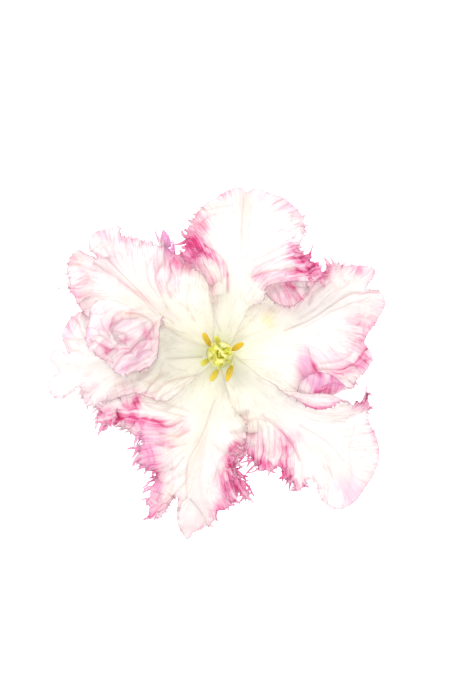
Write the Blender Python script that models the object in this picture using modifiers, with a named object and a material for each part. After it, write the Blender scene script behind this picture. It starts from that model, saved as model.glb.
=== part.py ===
"""A fully blown parrot tulip, cut just under the bloom and lying face up.

Six frilled petals, three inner over three outer, spread round a three-cornered
ovary with a crested stigma and six stamens. The stalk is a short stub under the
receptacle. The bloom rests on the stub's cut end and on its drooping petal tips.

The shape tables are in millimetres, seen from above: x to the east, y to the
north, with the flower's axis at 0, 0. A margin runs anticlockwise round its petal,
from the base over the tip and back to the base.
"""

import math
import random

import bmesh
import bpy
import numpy as np
from mathutils import Vector
from mathutils.bvhtree import BVHTree
from mathutils.geometry import delaunay_2d_cdt

MM = 0.001

STALK_RADIUS = 3.4
STALK_HEIGHT = 9.0
RECEPTACLE_RADIUS = 5.0
RECEPTACLE_TOP = 15.0

PETAL_THICKNESS = 0.65
PETAL_BASE_RADIUS = 5.5
# The least height of a petal's middle surface, and the least drop from one petal to the
# one beneath it.
REST_HEIGHT = 0.45
LAYER_GAP = 1.7

# How finely a petal is divided. Rows of points follow its margin: how far in each lies,
# and at every how many of the margin's points.
TOOTH_WIDTH = 2.0
TOOTH_GAP = 1.4
BASE_STEPS = 5
MARGIN_ROWS = [(2.2, 1), (5.0, 2)]
GRID_SPACING = 5.5
FOLD_SPACING = 4.0
POINTS_APART = 1.7

# How each whorl lies: how far round the receptacle half a base goes in degrees, height at
# the base, rise in the middle, fall to the tip, and rise of the sides.
WHORLS = {
    "inner": {"half_span": 44, "base": 14.2, "rise": 6.5, "fall": 13.0, "cup": 5.0},
    "outer": {"half_span": 56, "base": 12.0, "rise": 4.0, "fall": 11.5, "cup": 3.5},
}
WHORL_REACH = 76.0
CUP_WIDTH = 16.0
FOLD_TAPER = 7.0

# A margin is that of the petal laid flat. Each fold then turns over what lies beyond a
# line: a place on the line, the bearing it faces, half its length, the radius of the turn
# and the angle in degrees. Each lift raises the petal round a place by its height.
PETALS = [
    {
        "name": "inner_petal_north",
        "whorl": "inner",
        "bearing": 81,
        "margin": [
            (8.4, 11.7), (12.5, 20), (17.6, 21.5), (20, 28.5), (30, 29.7), (39, 30.5),
            (41.8, 34), (37, 39), (32, 44), (34.7, 48.5), (34.7, 57), (31, 62),
            (27, 65), (22, 67), (17.6, 69.4), (14, 70), (11.3, 67.7), (8.4, 70),
            (3.3, 68.6), (-1.7, 65.6), (-6.7, 62), (-10, 58), (-12, 53.5), (-14, 47.7),
            (-13, 43.5), (-16, 40), (-11, 36), (-5.4, 31), (-3.8, 22.6), (-2.5, 13.4),
        ],
        "folds": [],
        "lifts": [(-15, 44, 9, 7), (37, 36, 8, 5), (19, 25, 7, 4)],
    },
    {
        "name": "inner_petal_west",
        "whorl": "inner",
        "bearing": 186,
        "margin": [
            (-12.5, 5), (-20, 9.5), (-25, 14), (-25, 24), (-26, 35), (-31, 44),
            (-38, 46), (-44, 41), (-48, 31), (-50, 22), (-53, 14.5), (-58.5, 17.6),
            (-63.5, 13.4), (-65.6, 6), (-63.5, -1), (-66, 1.3), (-70, 1.3),
            (-71.5, -2.5), (-68, -7), (-72, -11.7), (-71.5, -16.7), (-67, -18.8),
            (-62, -16), (-58, -12.5), (-58.5, -18), (-53.5, -21.3), (-48.5, -19.6),
            (-42, -17.6), (-34.3, -16), (-29.3, -17.6), (-22.6, -19.2), (-16, -15),
            (-9.2, -9.2),
        ],
        "folds": [((-36, 14.5), 72, 24, 4.2, 182)],
        "lifts": [(-29, -18, 10, 3), (-62, 12, 8, 3)],
    },
    {
        "name": "inner_petal_southeast",
        "whorl": "inner",
        "bearing": 315.5,
        "margin": [
            (2.5, -13), (5.4, -21.7), (9.6, -26.3), (11.7, -32.6), (10, -38.5),
            (13.4, -43), (17.6, -47.7), (22, -48.5), (25, -46), (27, -52), (31, -54),
            (32.6, -58), (35, -56), (36, -52), (40, -53.5), (42, -60), (46.4, -64.4),
            (51.4, -65.6), (57, -63), (61, -57.7), (65, -51.4), (67.3, -44.7),
            (67.3, -39.3), (65, -33.4), (62, -27.6), (62, -22), (60, -17), (57, -19),
            (54, -23), (50, -15), (45, -8), (37, -8), (31, -13), (26, -14.5), (18, -10),
            (11, -4.5),
        ],
        "folds": [((41, -19.5), 84, 17, 3.0, 165)],
        "lifts": [(17, -45, 10, -4), (46, -60, 14, 3), (60, -20, 6, 4)],
    },
    {
        "name": "outer_petal_northwest",
        "whorl": "outer",
        "bearing": 142.5,
        "margin": [
            (-1, 13), (1, 23), (0, 32), (-6, 38), (-14, 39.7), (-19, 41),
            (-21.7, 44.3), (-26.3, 44.7), (-34.3, 48), (-41.4, 49.3), (-42.6, 54),
            (-46.8, 53), (-51.4, 51.4), (-54.8, 47.7), (-54.3, 43.5), (-51, 40.5),
            (-56.4, 42), (-60, 44), (-63.5, 41), (-64.4, 36), (-63, 30), (-60.6, 23.4),
            (-57.7, 17.6), (-54.3, 10), (-51, 6), (-45, 2.5), (-35.5, 3), (-25, 1.3),
            (-12.5, -0.8),
        ],
        "folds": [],
        "lifts": [(-19, 42, 8, 4), (-62, 28, 8, 5), (-50, 52, 8, 4)],
    },
    {
        "name": "outer_petal_south",
        "whorl": "outer",
        "bearing": 260,
        "margin": [
            (-12, -5), (-20, -11), (-29, -15), (-37.6, -16), (-43.5, -21),
            (-50.6, -24), (-49.7, -29), (-42.6, -29), (-35, -33.5), (-31, -36),
            (-34, -41), (-33, -45.6), (-28, -48), (-27, -52.7), (-29, -58),
            (-29.3, -67.7), (-25, -68.6), (-21.7, -63.5), (-17.6, -60), (-18, -69.4),
            (-16.7, -75), (-13.8, -79), (-11, -75.7), (-6.7, -73.6), (-2.5, -70.6),
            (-0.8, -66), (4.6, -62.7), (6.7, -57), (11.3, -60), (9.6, -53.5), (6, -47.7),
            (6.3, -43.5), (9.6, -40), (9.5, -33), (9, -24), (6, -14),
        ],
        "folds": [],
        "lifts": [(7, -55, 9, 5), (-33, -42, 9, 5), (-29, -64, 8, 4), (-50, -27, 8, 4)],
    },
    {
        "name": "outer_petal_east",
        "whorl": "outer",
        "bearing": 24,
        "margin": [
            (7, -11), (18, -16), (27, -20), (33, -26), (39, -31), (46, -31), (51, -27),
            (54, -19), (57, -11), (63, -3.3), (62.3, 1.7), (60, 5),
            (62.7, 9.2), (66, 14.2), (69.4, 19.2), (69, 24.2), (66, 26.8), (60.6, 26.3),
            (55, 24.2), (60.2, 29.3), (64.8, 32.2), (66, 35), (63.5, 37.2), (56.8, 37.2),
            (51.4, 37.2), (47.2, 38), (44.3, 34.7), (39.3, 32.2), (33, 29.5), (29, 36),
            (22, 39), (16, 34), (15, 26), (11, 20), (6, 14),
        ],
        "folds": [
            ((44, -14.5), 285, 17, 2.8, 180),
            ((24, 26.5), 112, 14, 2.4, 180),
        ],
        "lifts": [(66, 22, 8, 3), (46, 37, 7, 4), (62, -2, 8, 6)],
    },
]

# Where the fringe is longer or shorter than its usual length: place, spread and change.
FRINGE_SPOTS = [
    (-12, 48, 9, 4.5), (33, 53, 6, 3.5), (36, 37, 8, 5.5), (-38, 50, 5, 2),
    (-24, 46, 5, 5), (-48, -25, 10, 4.5), (-31, -40, 12, 4.5), (-28, -61, 12, 3.5),
    (8, -50, 14, 5.5), (-1, -67, 8, 3.5), (18, -46, 8, 3), (29, -53, 8, 4),
    (59, -20, 6, 5), (44, 36, 7, 3), (-62, 30, 8, 2.5), (-35, 18, 12, 3),
    (42, -16, 9, 3),
    (54, -20, 4, -6), (-51, 18, 5, -4), (33, 31, 4, -6), (-19, -62, 3, -2),
    (25, -48, 4, -6), (0, -67, 3, -5),
]
FRINGE_USUAL = 1.1
FRINGE_SHORTEST = 0.25

# The ruffles go round a middle that is this far out along the petal, and fade inwards.
RUFFLES = 12
RUFFLE_MIDDLE = 36.0
RUFFLE_HEIGHT = 2.6
RUFFLE_DEPTH = 9.0

FILAMENT_CIRCLE = 3.9
# Each anther: inner end and outer end from above, and the height of each.
ANTHERS = [
    ((5.0, 1.7), (9.6, 4.6), 21.5, 26.5),
    ((-0.8, 4.9), (-1.5, 7.2), 21.0, 28.5),
    ((-4.0, 3.4), (-6.9, 8.8), 21.5, 26.0),
    ((-4.9, -2.3), (-7.6, -4.2), 21.0, 28.0),
    ((-0.9, -6.4), (-3.8, -11.0), 21.5, 26.5),
    ((5.0, -4.6), (2.8, -11.0), 21.0, 25.0),
]
ANTHER_RADIUS = 1.35
FILAMENT_RADIUS = 0.75

OVARY_BASE = 15.3
OVARY_HEIGHT = 11.0
OVARY_RADIUS = 2.55
STIGMA_RADIUS = 4.6
STIGMA_TOP = 31.0
SEAM = 0.3


# The petal laid flat

def smooth_path(points, steps=16):
    """A Catmull-Rom curve through the points."""
    p = np.array(points, float)
    p = np.vstack([2 * p[0] - p[1], p, 2 * p[-1] - p[-2]])
    t = np.linspace(0, 1, steps, endpoint=False)[:, None]
    pieces = []
    for a, b, c, d in zip(p, p[1:], p[2:], p[3:]):
        pieces.append(
            b + 0.5 * t * (c - a)
            + t**2 * (a - 2.5 * b + 2 * c - 0.5 * d)
            + t**3 * (1.5 * b - 1.5 * c + 0.5 * d - 0.5 * a)
        )
    return np.vstack([*pieces, p[-2:-1]])


def evenly(path, spacing):
    """Points of the path at about this spacing, with its two ends."""
    run = np.concatenate([[0], np.cumsum(np.linalg.norm(np.diff(path, axis=0), axis=1))])
    count = max(round(run[-1] / spacing), 1) + 1
    wanted = np.linspace(0, run[-1], count)
    return np.column_stack([np.interp(wanted, run, path[:, k]) for k in range(2)])


def base_arc(petal, share):
    """Where the petal's base stands on the receptacle, from -1 at its clockwise end to 1."""
    bearing = math.radians(petal["bearing"] + share * WHORLS[petal["whorl"]]["half_span"])
    return PETAL_BASE_RADIUS * math.cos(bearing), PETAL_BASE_RADIUS * math.sin(bearing)


def smooth_margin(petal):
    return smooth_path([base_arc(petal, -1), *petal["margin"], base_arc(petal, 1)])


def outward_normals(path):
    way = np.gradient(path, axis=0)
    way /= np.linalg.norm(way, axis=1)[:, None]
    return np.column_stack([way[:, 1], -way[:, 0]])


def distances(points, others):
    return np.linalg.norm(points[:, None] - others[None], axis=2)


def fringe_length(place):
    length = FRINGE_USUAL
    for x, y, spread, long in FRINGE_SPOTS:
        length += long * math.exp(-(((place[0] - x) ** 2 + (place[1] - y) ** 2) / spread**2))
    return length * smooth_step((math.hypot(*place) - 12) / 14)


def fringed_outline(petal):
    """The margin with a pointed tooth between every two of its points."""
    margin = evenly(smooth_margin(petal), TOOTH_WIDTH)
    normals = outward_normals(margin)
    draw = random.Random(petal["name"])
    outline = [margin[0]]
    for i in range(len(margin) - 1):
        middle = (margin[i] + margin[i + 1]) / 2
        length = fringe_length(middle) * draw.uniform(0.4, 1.0)
        lean = draw.uniform(-0.3, 0.3) * (margin[i + 1] - margin[i])
        others = np.vstack([np.delete(margin, [i, i + 1], axis=0), *outline[1:-2:2]])
        while length > FRINGE_SHORTEST:
            tip = middle + length * (normals[i] + normals[i + 1]) / 2 + lean
            if distances(tip[None], others).min() > max(0.62 * length, TOOTH_GAP):
                outline.append(tip)
                break
            length *= 0.7
        outline.append(margin[i + 1])
    return margin, np.array(outline)


def inner_points(petal, margin):
    """Points inside the petal: rows along its margin and its folds, and a wide grid."""
    normals = outward_normals(margin)
    found = []
    for inset, every in MARGIN_ROWS:
        row = (margin - inset * normals)[::every]
        found.append(row[distances(row, margin).min(axis=1) > 0.9 * inset])
    first_row = MARGIN_ROWS[0][0]
    for (x, y), bearing, half_length, radius, degrees in petal["folds"]:
        out = np.array([math.cos(math.radians(bearing)), math.sin(math.radians(bearing))])
        side = np.array([-out[1], out[0]])
        for turn in range(0, int(degrees) + 1, 45):
            beyond = radius * math.radians(turn)
            for along in np.arange(-half_length, half_length + 0.1, FOLD_SPACING):
                found.append(np.array([[x, y] + beyond * out + along * side]))
    steps = np.arange(-90, 90, GRID_SPACING)
    found.append(np.array([
        (x + 0.5 * GRID_SPACING * (j % 2), y * math.sin(math.radians(60)))
        for j, y in enumerate(steps) for x in steps
    ]))
    kept = np.zeros((0, 2))
    for points in found:
        points = points[inside_of(points, margin)]
        points = points[distances(points, margin).min(axis=1) > 0.85 * first_row]
        for point in points:
            if not len(kept) or distances(point[None], kept).min() > POINTS_APART:
                kept = np.vstack([kept, point])
    return kept


def inside_of(points, outline):
    """Which points lie inside the closed outline."""
    x, y = points[:, :1], points[:, 1:]
    x0, y0 = outline.T
    x1, y1 = np.roll(outline, -1, axis=0).T
    spans = (y0 > y) != (y1 > y)
    rise = np.where(y1 == y0, 1, y1 - y0)
    left = x < x0 + (y - y0) * (x1 - x0) / rise
    return (spans & left).sum(axis=1) % 2 == 1


# The petal's form

def smooth_step(x):
    x = np.clip(x, 0, 1)
    return x * x * (3 - 2 * x)


def flat_to_form(petal, points, margin):
    """Raises flat points to the petal's form, before its folds are turned."""
    lie = WHORLS[petal["whorl"]]
    bearing = math.radians(petal["bearing"])
    aside = points @ np.array([-math.sin(bearing), math.cos(bearing)])
    far = np.linalg.norm(points, axis=1) / WHORL_REACH
    height = lie["base"] + lie["rise"] * np.sin(math.pi * np.minimum(far, 1)) - lie["fall"] * far**3
    height += lie["cup"] * (1 - np.exp(-((aside / CUP_WIDTH) ** 2))) * (1 - 0.6 * np.minimum(far, 1))
    for x, y, spread, most in petal["lifts"]:
        away = np.hypot(points[:, 0] - x, points[:, 1] - y)
        height += most * np.exp(-((away / spread) ** 2))
    edge = np.exp(-distances(points, margin).min(axis=1) / RUFFLE_DEPTH)
    edge *= smooth_step((far * WHORL_REACH - 10) / 22)
    middle = RUFFLE_MIDDLE * np.array([math.cos(bearing), math.sin(bearing)])
    round_middle = np.arctan2(*(points - middle).T)
    turn = RUFFLES * round_middle + 1.3 * np.sin(2 * round_middle + 5 * bearing)
    height += RUFFLE_HEIGHT * edge * (np.sin(turn) + 0.5 * np.sin(2 * turn / 3 + bearing))
    return np.column_stack([points, height])


def turn_fold(petal, points, margin, fold):
    """Turns what lies beyond the fold's line up and over, as if round a rod."""
    (x, y), bearing, half_length, radius, degrees = fold
    out = np.array([math.cos(math.radians(bearing)), math.sin(math.radians(bearing))])
    side = np.array([-out[1], out[0]])
    place = points[:, :2] - (x, y)
    beyond, along = place @ out, place @ side
    over = (beyond > 0) & (np.abs(along) < half_length)
    on_line = np.array([x, y]) + np.outer(along, side)
    level = flat_to_form(petal, on_line, margin)[:, 2]
    whole = smooth_step((half_length - np.abs(along)) / FOLD_TAPER)
    angle = np.minimum(beyond / radius, math.radians(degrees) * whole)
    tail = beyond - radius * angle
    above = 0.5 * (points[:, 2] - level)
    forward = (radius - above) * np.sin(angle) + tail * np.cos(angle)
    upward = radius - (radius - above) * np.cos(angle) + tail * np.sin(angle)
    turned = np.column_stack([on_line + np.outer(forward, out), level + upward])
    return np.where(over[:, None], turned, points)


def rest_on_surface(points):
    """Flattens what would reach below the surface that the bloom lies on."""
    over = points[:, 2] - REST_HEIGHT
    points[:, 2] = REST_HEIGHT + 0.5 * (over + np.sqrt(over**2 + 0.5))


def bend_clear(points, covers):
    """Bends the petal down where it would touch the petals that lie over it."""
    need = np.zeros(len(points))
    for i, point in enumerate(points):
        for reach in (0.0, 1.5, 3.0, 4.5, 6.0):
            for k in range(8 if reach else 1):
                turn = k * math.pi / 4
                x, y = point[0] + reach * math.cos(turn), point[1] + reach * math.sin(turn)
                for cover in covers:
                    hit = cover.ray_cast(Vector((x, y, -20)), Vector((0, 0, 1)))[0]
                    if hit:
                        need[i] = max(need[i], point[2] - (hit.z - LAYER_GAP + 0.6 * reach))
    apart = distances(points[:, :2], points[:, :2])
    points[:, 2] -= (need[None] - 0.5 * apart).max(axis=1).clip(0)
    points[:, 2] = points[:, 2].clip(REST_HEIGHT)


def make_petal(petal, covers):
    margin, outline = fringed_outline(petal)
    shares = np.linspace(1, -1, BASE_STEPS + 2)[1:-1]
    base = np.array([base_arc(petal, share) for share in shares])
    outline = np.vstack([outline, base])
    flat = np.vstack([outline, inner_points(petal, margin)])
    edges = [(i, (i + 1) % len(outline)) for i in range(len(outline))]
    flat, _, faces, *_ = delaunay_2d_cdt([Vector(v) for v in flat], edges, [], 1, 1e-5)
    points = flat_to_form(petal, np.array(flat), margin)
    for fold in petal["folds"]:
        points = turn_fold(petal, points, margin, fold)
    rest_on_surface(points)
    if petal["whorl"] == "outer":
        bend_clear(points, covers)
    mesh = bpy.data.meshes.new(petal["name"])
    mesh.from_pydata([tuple(v * MM) for v in points], [], faces)
    mesh.materials.append(material("petal", (0.96, 0.86, 0.86)))
    mesh.shade_smooth()
    made = bpy.data.objects.new(petal["name"], mesh)
    shell = made.modifiers.new("thickness", "SOLIDIFY")
    shell.thickness = PETAL_THICKNESS * MM
    shell.offset = 0
    return made, BVHTree.FromPolygons([Vector(v) for v in points], faces)


# The other pieces

def material(name, colour, roughness=0.55):
    made = bpy.data.materials.get(name)
    if made is None:
        made = bpy.data.materials.new(name)
        made.use_nodes = True
        shader = made.node_tree.nodes["Principled BSDF"]
        shader.inputs["Base Color"].default_value = (*colour, 1)
        shader.inputs["Roughness"].default_value = roughness
        shader.inputs["Metallic"].default_value = 0
    return made


def turned(name, profile, steps, colour):
    """A solid turned about the flower's axis from a profile that runs down its outer side."""
    mesh = bpy.data.meshes.new(name)
    edges = [(i, i + 1) for i in range(len(profile) - 1)]
    mesh.from_pydata([(r * MM, 0, z * MM) for r, z in profile], edges, [])
    mesh.materials.append(material(name, colour))
    made = bpy.data.objects.new(name, mesh)
    screw = made.modifiers.new("turn", "SCREW")
    screw.steps = screw.render_steps = steps
    screw.use_merge_vertices = True
    screw.merge_threshold = 0.00005
    return made


def make_stalk():
    """The stub of the stalk, cut square, with the receptacle that the petals stand on."""
    profile = [
        (0, RECEPTACLE_TOP),
        (RECEPTACLE_RADIUS - 0.6, RECEPTACLE_TOP),
        (RECEPTACLE_RADIUS, RECEPTACLE_TOP - 0.6),
        (RECEPTACLE_RADIUS, RECEPTACLE_TOP - 3.6),
        (RECEPTACLE_RADIUS - 0.7, STALK_HEIGHT + 1.2),
        (STALK_RADIUS, STALK_HEIGHT - 1),
        (STALK_RADIUS, 0.3),
        (STALK_RADIUS - 0.3, 0),
        (0, 0),
    ]
    return turned("stalk", profile, 28, (0.62, 0.72, 0.42))


def lobed(name, rings, columns, shape, colour):
    """A closed body whose rings of points follow shape(turn, height share), in millimetres."""
    made = bmesh.new()
    levels = []
    for j in range(rings + 1):
        share = j / rings
        ring = [made.verts.new(shape(2 * math.pi * i / columns, share)) for i in range(columns)]
        levels.append(ring)
    for low, high in zip(levels, levels[1:]):
        for i in range(columns):
            k = (i + 1) % columns
            made.faces.new((low[i], low[k], high[k], high[i]))
    made.faces.new(levels[0][::-1])
    made.faces.new(levels[-1])
    bmesh.ops.triangulate(made, faces=made.faces)
    mesh = bpy.data.meshes.new(name)
    bmesh.ops.scale(made, vec=(MM, MM, MM), verts=made.verts)
    made.to_mesh(mesh)
    made.free()
    mesh.materials.append(material(name, colour))
    mesh.shade_smooth()
    return bpy.data.objects.new(name, mesh)


def ovary_point(turn, share):
    swell = math.sin(math.pi * (0.2 + 0.62 * share)) ** 0.6
    radius = OVARY_RADIUS * swell * (1 + 0.1 * math.cos(3 * turn))
    return radius * math.cos(turn), radius * math.sin(turn), OVARY_BASE + OVARY_HEIGHT * share


# The stigma's outer side and top from its foot to its middle: shares of radius and height.
STIGMA_SIDE = [
    (0.42, 0.0), (0.62, 0.3), (0.95, 0.52), (1.0, 0.7), (0.72, 0.86), (0.3, 0.8), (0.06, 0.62),
]


def stigma_point(turn, share):
    """A flared crest in three folded lobes that dips at its middle."""
    steps = np.linspace(0, 1, len(STIGMA_SIDE))
    out, up = (np.interp(share, steps, column) for column in zip(*STIGMA_SIDE))
    lobe = math.cos(3 * (turn - 0.6))
    crimp = 1 + 0.09 * math.sin(12 * turn) * min(1, 3 * share)
    radius = STIGMA_RADIUS * out * ((0.74 + 0.26 * lobe) * crimp if share > 0.1 else 0.95)
    foot = OVARY_BASE + OVARY_HEIGHT + SEAM
    height = foot + (STIGMA_TOP - foot) * up * (1 + 0.16 * lobe * share)
    return radius * math.cos(turn), radius * math.sin(turn), height


def make_anther(number, inner, outer, low, high):
    """A long pollen sac with a groove down its upper side."""
    start = Vector((*inner, low))
    end = Vector((*outer, high))
    sac = bmesh.new()
    bmesh.ops.create_uvsphere(sac, u_segments=10, v_segments=8, radius=1)
    length = (end - start).length
    for v in sac.verts:
        groove = 1 - 0.22 * max(0, v.co.y) * (1 - v.co.z**2)
        blunt = math.copysign(abs(v.co.z) ** 0.8, v.co.z)
        v.co = Vector((
            v.co.x * ANTHER_RADIUS,
            v.co.y * 0.75 * ANTHER_RADIUS * groove,
            blunt * length / 2,
        )) * MM
    mesh = bpy.data.meshes.new(f"anther_{number}")
    sac.to_mesh(mesh)
    sac.free()
    mesh.materials.append(material("anther", (0.72, 0.5, 0.06), 0.8))
    mesh.shade_smooth()
    made = bpy.data.objects.new(mesh.name, mesh)
    made.rotation_mode = "QUATERNION"
    made.rotation_quaternion = (end - start).to_track_quat("Z", "Y")
    made.location = (start + end) / 2 * MM
    return made


def make_filament(number, inner, low):
    """A stout stalk that leans from the receptacle out to its anther."""
    turn = math.atan2(inner[1], inner[0])
    out = Vector((math.cos(turn), math.sin(turn), 0)) * FILAMENT_CIRCLE
    foot = out + Vector((0, 0, RECEPTACLE_TOP + SEAM))
    head = Vector((*inner, low - SEAM))
    curve = bpy.data.curves.new(f"filament_{number}", "CURVE")
    curve.dimensions = "3D"
    curve.bevel_depth = FILAMENT_RADIUS * MM
    curve.bevel_resolution = 1
    curve.use_fill_caps = True
    spline = curve.splines.new("POLY")
    spline.points.add(3)
    for k, point in enumerate(spline.points):
        share = k / 3
        place = foot.lerp(head, share)
        point.co = (*(place * MM), 1)
        point.radius = 1.1 - 0.5 * share
    curve.materials.append(material("filament", (0.9, 0.9, 0.6)))
    return bpy.data.objects.new(f"filament_{number}", curve)


def centre_on_origin(objects):
    """Moves the whole bloom so that the middle of its footprint is at 0, 0."""
    bpy.context.view_layer.update()
    graph = bpy.context.evaluated_depsgraph_get()
    places = []
    for made in objects:
        evaluated = made.evaluated_get(graph)
        places += [evaluated.matrix_world @ v.co for v in evaluated.to_mesh().vertices]
        evaluated.to_mesh_clear()
    shift = Vector((0, 0, 0))
    for axis in (0, 1):
        values = [place[axis] for place in places]
        shift[axis] = -(min(values) + max(values)) / 2
    for made in objects:
        made.location += shift


def main():
    for old in list(bpy.data.objects):
        bpy.data.objects.remove(old)
    bloom = bpy.data.collections.new("parrot_tulip")
    bpy.context.scene.collection.children.link(bloom)
    pieces = []
    covers = []
    for petal in PETALS:
        made, sheet = make_petal(petal, covers)
        pieces.append(made)
        if petal["whorl"] == "inner":
            covers.append(sheet)
    pieces.append(make_stalk())
    pieces.append(lobed("ovary", 6, 18, ovary_point, (0.8, 0.82, 0.4)))
    pieces.append(lobed("stigma", 6, 36, stigma_point, (0.93, 0.88, 0.45)))
    for number, (inner, outer, low, high) in enumerate(ANTHERS, 1):
        pieces.append(make_filament(number, inner, low))
        pieces.append(make_anther(number, inner, outer, low, high))
    for made in pieces:
        bloom.objects.link(made)
    centre_on_origin(pieces)


main()
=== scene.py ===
"""The looks of a fully blown parrot tulip that lies face up: fine petals, pistil and stamens.

Each petal is drawn flat, then raised, folded and bent clear of its neighbours, by the steps
of the part's source. Here its margin keeps closer to the photograph, and its sheet is divided
finely, with pleats, crimps and a fringe of curled points. Shape tables are in millimetres
from above: x to the east, y to the north, with the flower's axis at 0, 0.
"""

import math
import random

import bpy
import numpy as np
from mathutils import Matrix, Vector
from mathutils.bvhtree import BVHTree
from mathutils.geometry import delaunay_2d_cdt
from mathutils.kdtree import KDTree


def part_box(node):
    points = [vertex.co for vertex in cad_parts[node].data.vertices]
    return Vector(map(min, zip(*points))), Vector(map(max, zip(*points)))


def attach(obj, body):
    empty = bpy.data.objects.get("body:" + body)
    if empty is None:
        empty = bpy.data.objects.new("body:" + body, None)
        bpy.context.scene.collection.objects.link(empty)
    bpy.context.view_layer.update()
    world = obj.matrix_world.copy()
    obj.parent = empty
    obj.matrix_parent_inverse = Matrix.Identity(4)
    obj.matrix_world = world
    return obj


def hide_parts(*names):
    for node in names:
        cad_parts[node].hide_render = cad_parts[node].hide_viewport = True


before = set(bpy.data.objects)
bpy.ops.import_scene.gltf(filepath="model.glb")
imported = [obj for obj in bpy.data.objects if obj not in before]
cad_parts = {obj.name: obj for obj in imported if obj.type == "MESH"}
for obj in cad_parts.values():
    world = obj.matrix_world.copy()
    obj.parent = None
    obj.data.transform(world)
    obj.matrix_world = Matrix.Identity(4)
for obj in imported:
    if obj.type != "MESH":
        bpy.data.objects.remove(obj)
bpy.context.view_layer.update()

MM = 0.001

# The flower's axis and the heights of what stands on it, from the frame.
STALK_LOW, STALK_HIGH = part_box("stalk")
OVARY_LOW, OVARY_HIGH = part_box("ovary")
STIGMA_LOW, STIGMA_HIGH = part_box("stigma")
AXIS = (STALK_LOW + STALK_HIGH) / 2
AXIS.z = 0

# A petal's form: its base on the receptacle, and the rise, fall and cup of its whorl. A fade,
# here and below, holds the distance where something starts and the length over which it grows.
PETAL_BASE_RADIUS = 5.5
BASE_STEPS = 24
WHORLS = {
    "inner": {"half_span": 44, "base": 14.2, "rise": 6.5, "fall": 13.0, "cup": 5.0},
    "outer": {"half_span": 56, "base": 12.0, "rise": 4.0, "fall": 11.5, "cup": 3.5},
}
WHORL_REACH = 76.0
CUP_WIDTH = 16.0
CUP_LOSS = 0.6
FOLD_TAPER = 7.0

# The ruffles of the whole margin, counted round a place on the petal's middle line.
RUFFLES = 12
RUFFLE_MIDDLE = 36.0
RUFFLE_HEIGHT = 2.6
RUFFLE_DEPTH = 9.0
RUFFLE_CALM = 28.0
RUFFLE_FADE = (10, 22)

# The surface that the bloom lies on, and how petals bend clear of those that cover them:
# their gap, where it is probed, and how slowly it may open round a place.
REST_HEIGHT = 0.45
REST_SOFTNESS = 0.5
COVERED_SOFTNESS = 0.04
LAYER_GAP = 1.7
COVER_SPACING = 2.6
COVER_BLUR = 2.4
COVER_REACHES = (0.0, 1.5, 3.0, 4.5, 6.0)
COVER_TURNS = 8
COVER_SLOPE = 0.6
DROP_SLOPE = 0.5
PROBE_START = -20

# The margin's teeth: their width, their clearance, and what is drawn for each of them.
TOOTH_WIDTH = 2.0
TOOTH_GAP = 1.4
TOOTH_SHARES = (0.4, 1.0)
TOOTH_LEAN = 0.3
TOOTH_CLEAR = 0.62
TOOTH_SHRINK = 0.7
TOOTH_SIZES = (0.15, 0.35, 0.6, 0.85, 1.0)
TOOTH_SHIFT = 0.4
TOOTH_HOLLOW = 1.3

# How long the fringe is, and what spots add or take away: x, y, spread and length.
FRINGE_USUAL = 1.1
FRINGE_SHORTEST = 0.25
FRINGE_FADE = (12, 14)
FRINGE_SPOTS = [
    (-12, 48, 9, 4.5), (33, 53, 6, 3.5), (36, 37, 8, 5.5), (-38, 50, 5, 2),
    (-24, 46, 5, 5), (-48, -25, 10, 4.5), (-31, -40, 12, 4.5), (-28, -61, 12, 3.5),
    (8, -50, 14, 5.5), (-1, -67, 8, 3.5), (18, -46, 8, 3), (29, -53, 8, 4),
    (59, -20, 6, 5), (44, 36, 7, 3), (-62, 30, 8, 2.5), (-35, 18, 12, 3),
    (42, -16, 9, 3),
    (54, -20, 4, -6), (-51, 18, 5, -4), (33, 31, 4, -6), (-19, -62, 3, -2),
    (25, -48, 4, -6), (0, -67, 3, -5),
]

# The fringe's curled points: how closely they stand, and what is drawn for each of them.
POINT_EVERY = 1.1
POINT_STATIONS = 9
POINT_ROOT = 0.6
POINT_HALF_WIDTH = (0.35, 0.95)
POINT_LENGTHS = (0.35, 0.5, 0.65, 0.8, 1.05)
POINT_STRETCH = (0.7, 1.2)
POINT_SWAY = 0.6
POINT_BEND = 1.1
POINT_CURL = (0.3, 0.5)
POINT_BELLY = 3
POINT_SHORTEST = 0.8
POINT_MISSING = 0.25
POINT_TIP = 0.07
POINT_THICKNESS = 0.7
POINT_THINNING = 0.4
LOBE_CURL = (0.1, 0.5)
FRINGE_RIM = 0.42

# How finely the sheets are divided, how thick they are, and how many points are worked out
# in one go.
OUTLINE_SPACING = 0.32
SHEET_SPACING = 0.42
EDGE_CLEAR = 0.24
MERGE_DISTANCE = 1e-5
SHEET_THICKNESS = 0.34
POINTS_AT_ONCE = 4000

# Veins leave the middle line one after another and bend away from it. VEIN_BEND is the way
# along the petal over which a vein gets 2.7 times as far from the middle, VEIN_UNIT the width
# of a streak of colour, and COMB_CORE the share above which a point lies in a comb's middle.
VEIN_BEND = 14.0
VEIN_NEAREST = 0.6
VEIN_UNIT = 2.7
COMB_CORE = 0.8

# Where a petal's colours change: its margin's flush, its outer part and its middle line.
EDGE_FADE = (18, 16)
EDGE_DEPTH = 1.5
OUTER_DEPTH = 12
MIDDLE_WIDTH = 2.0

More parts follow.
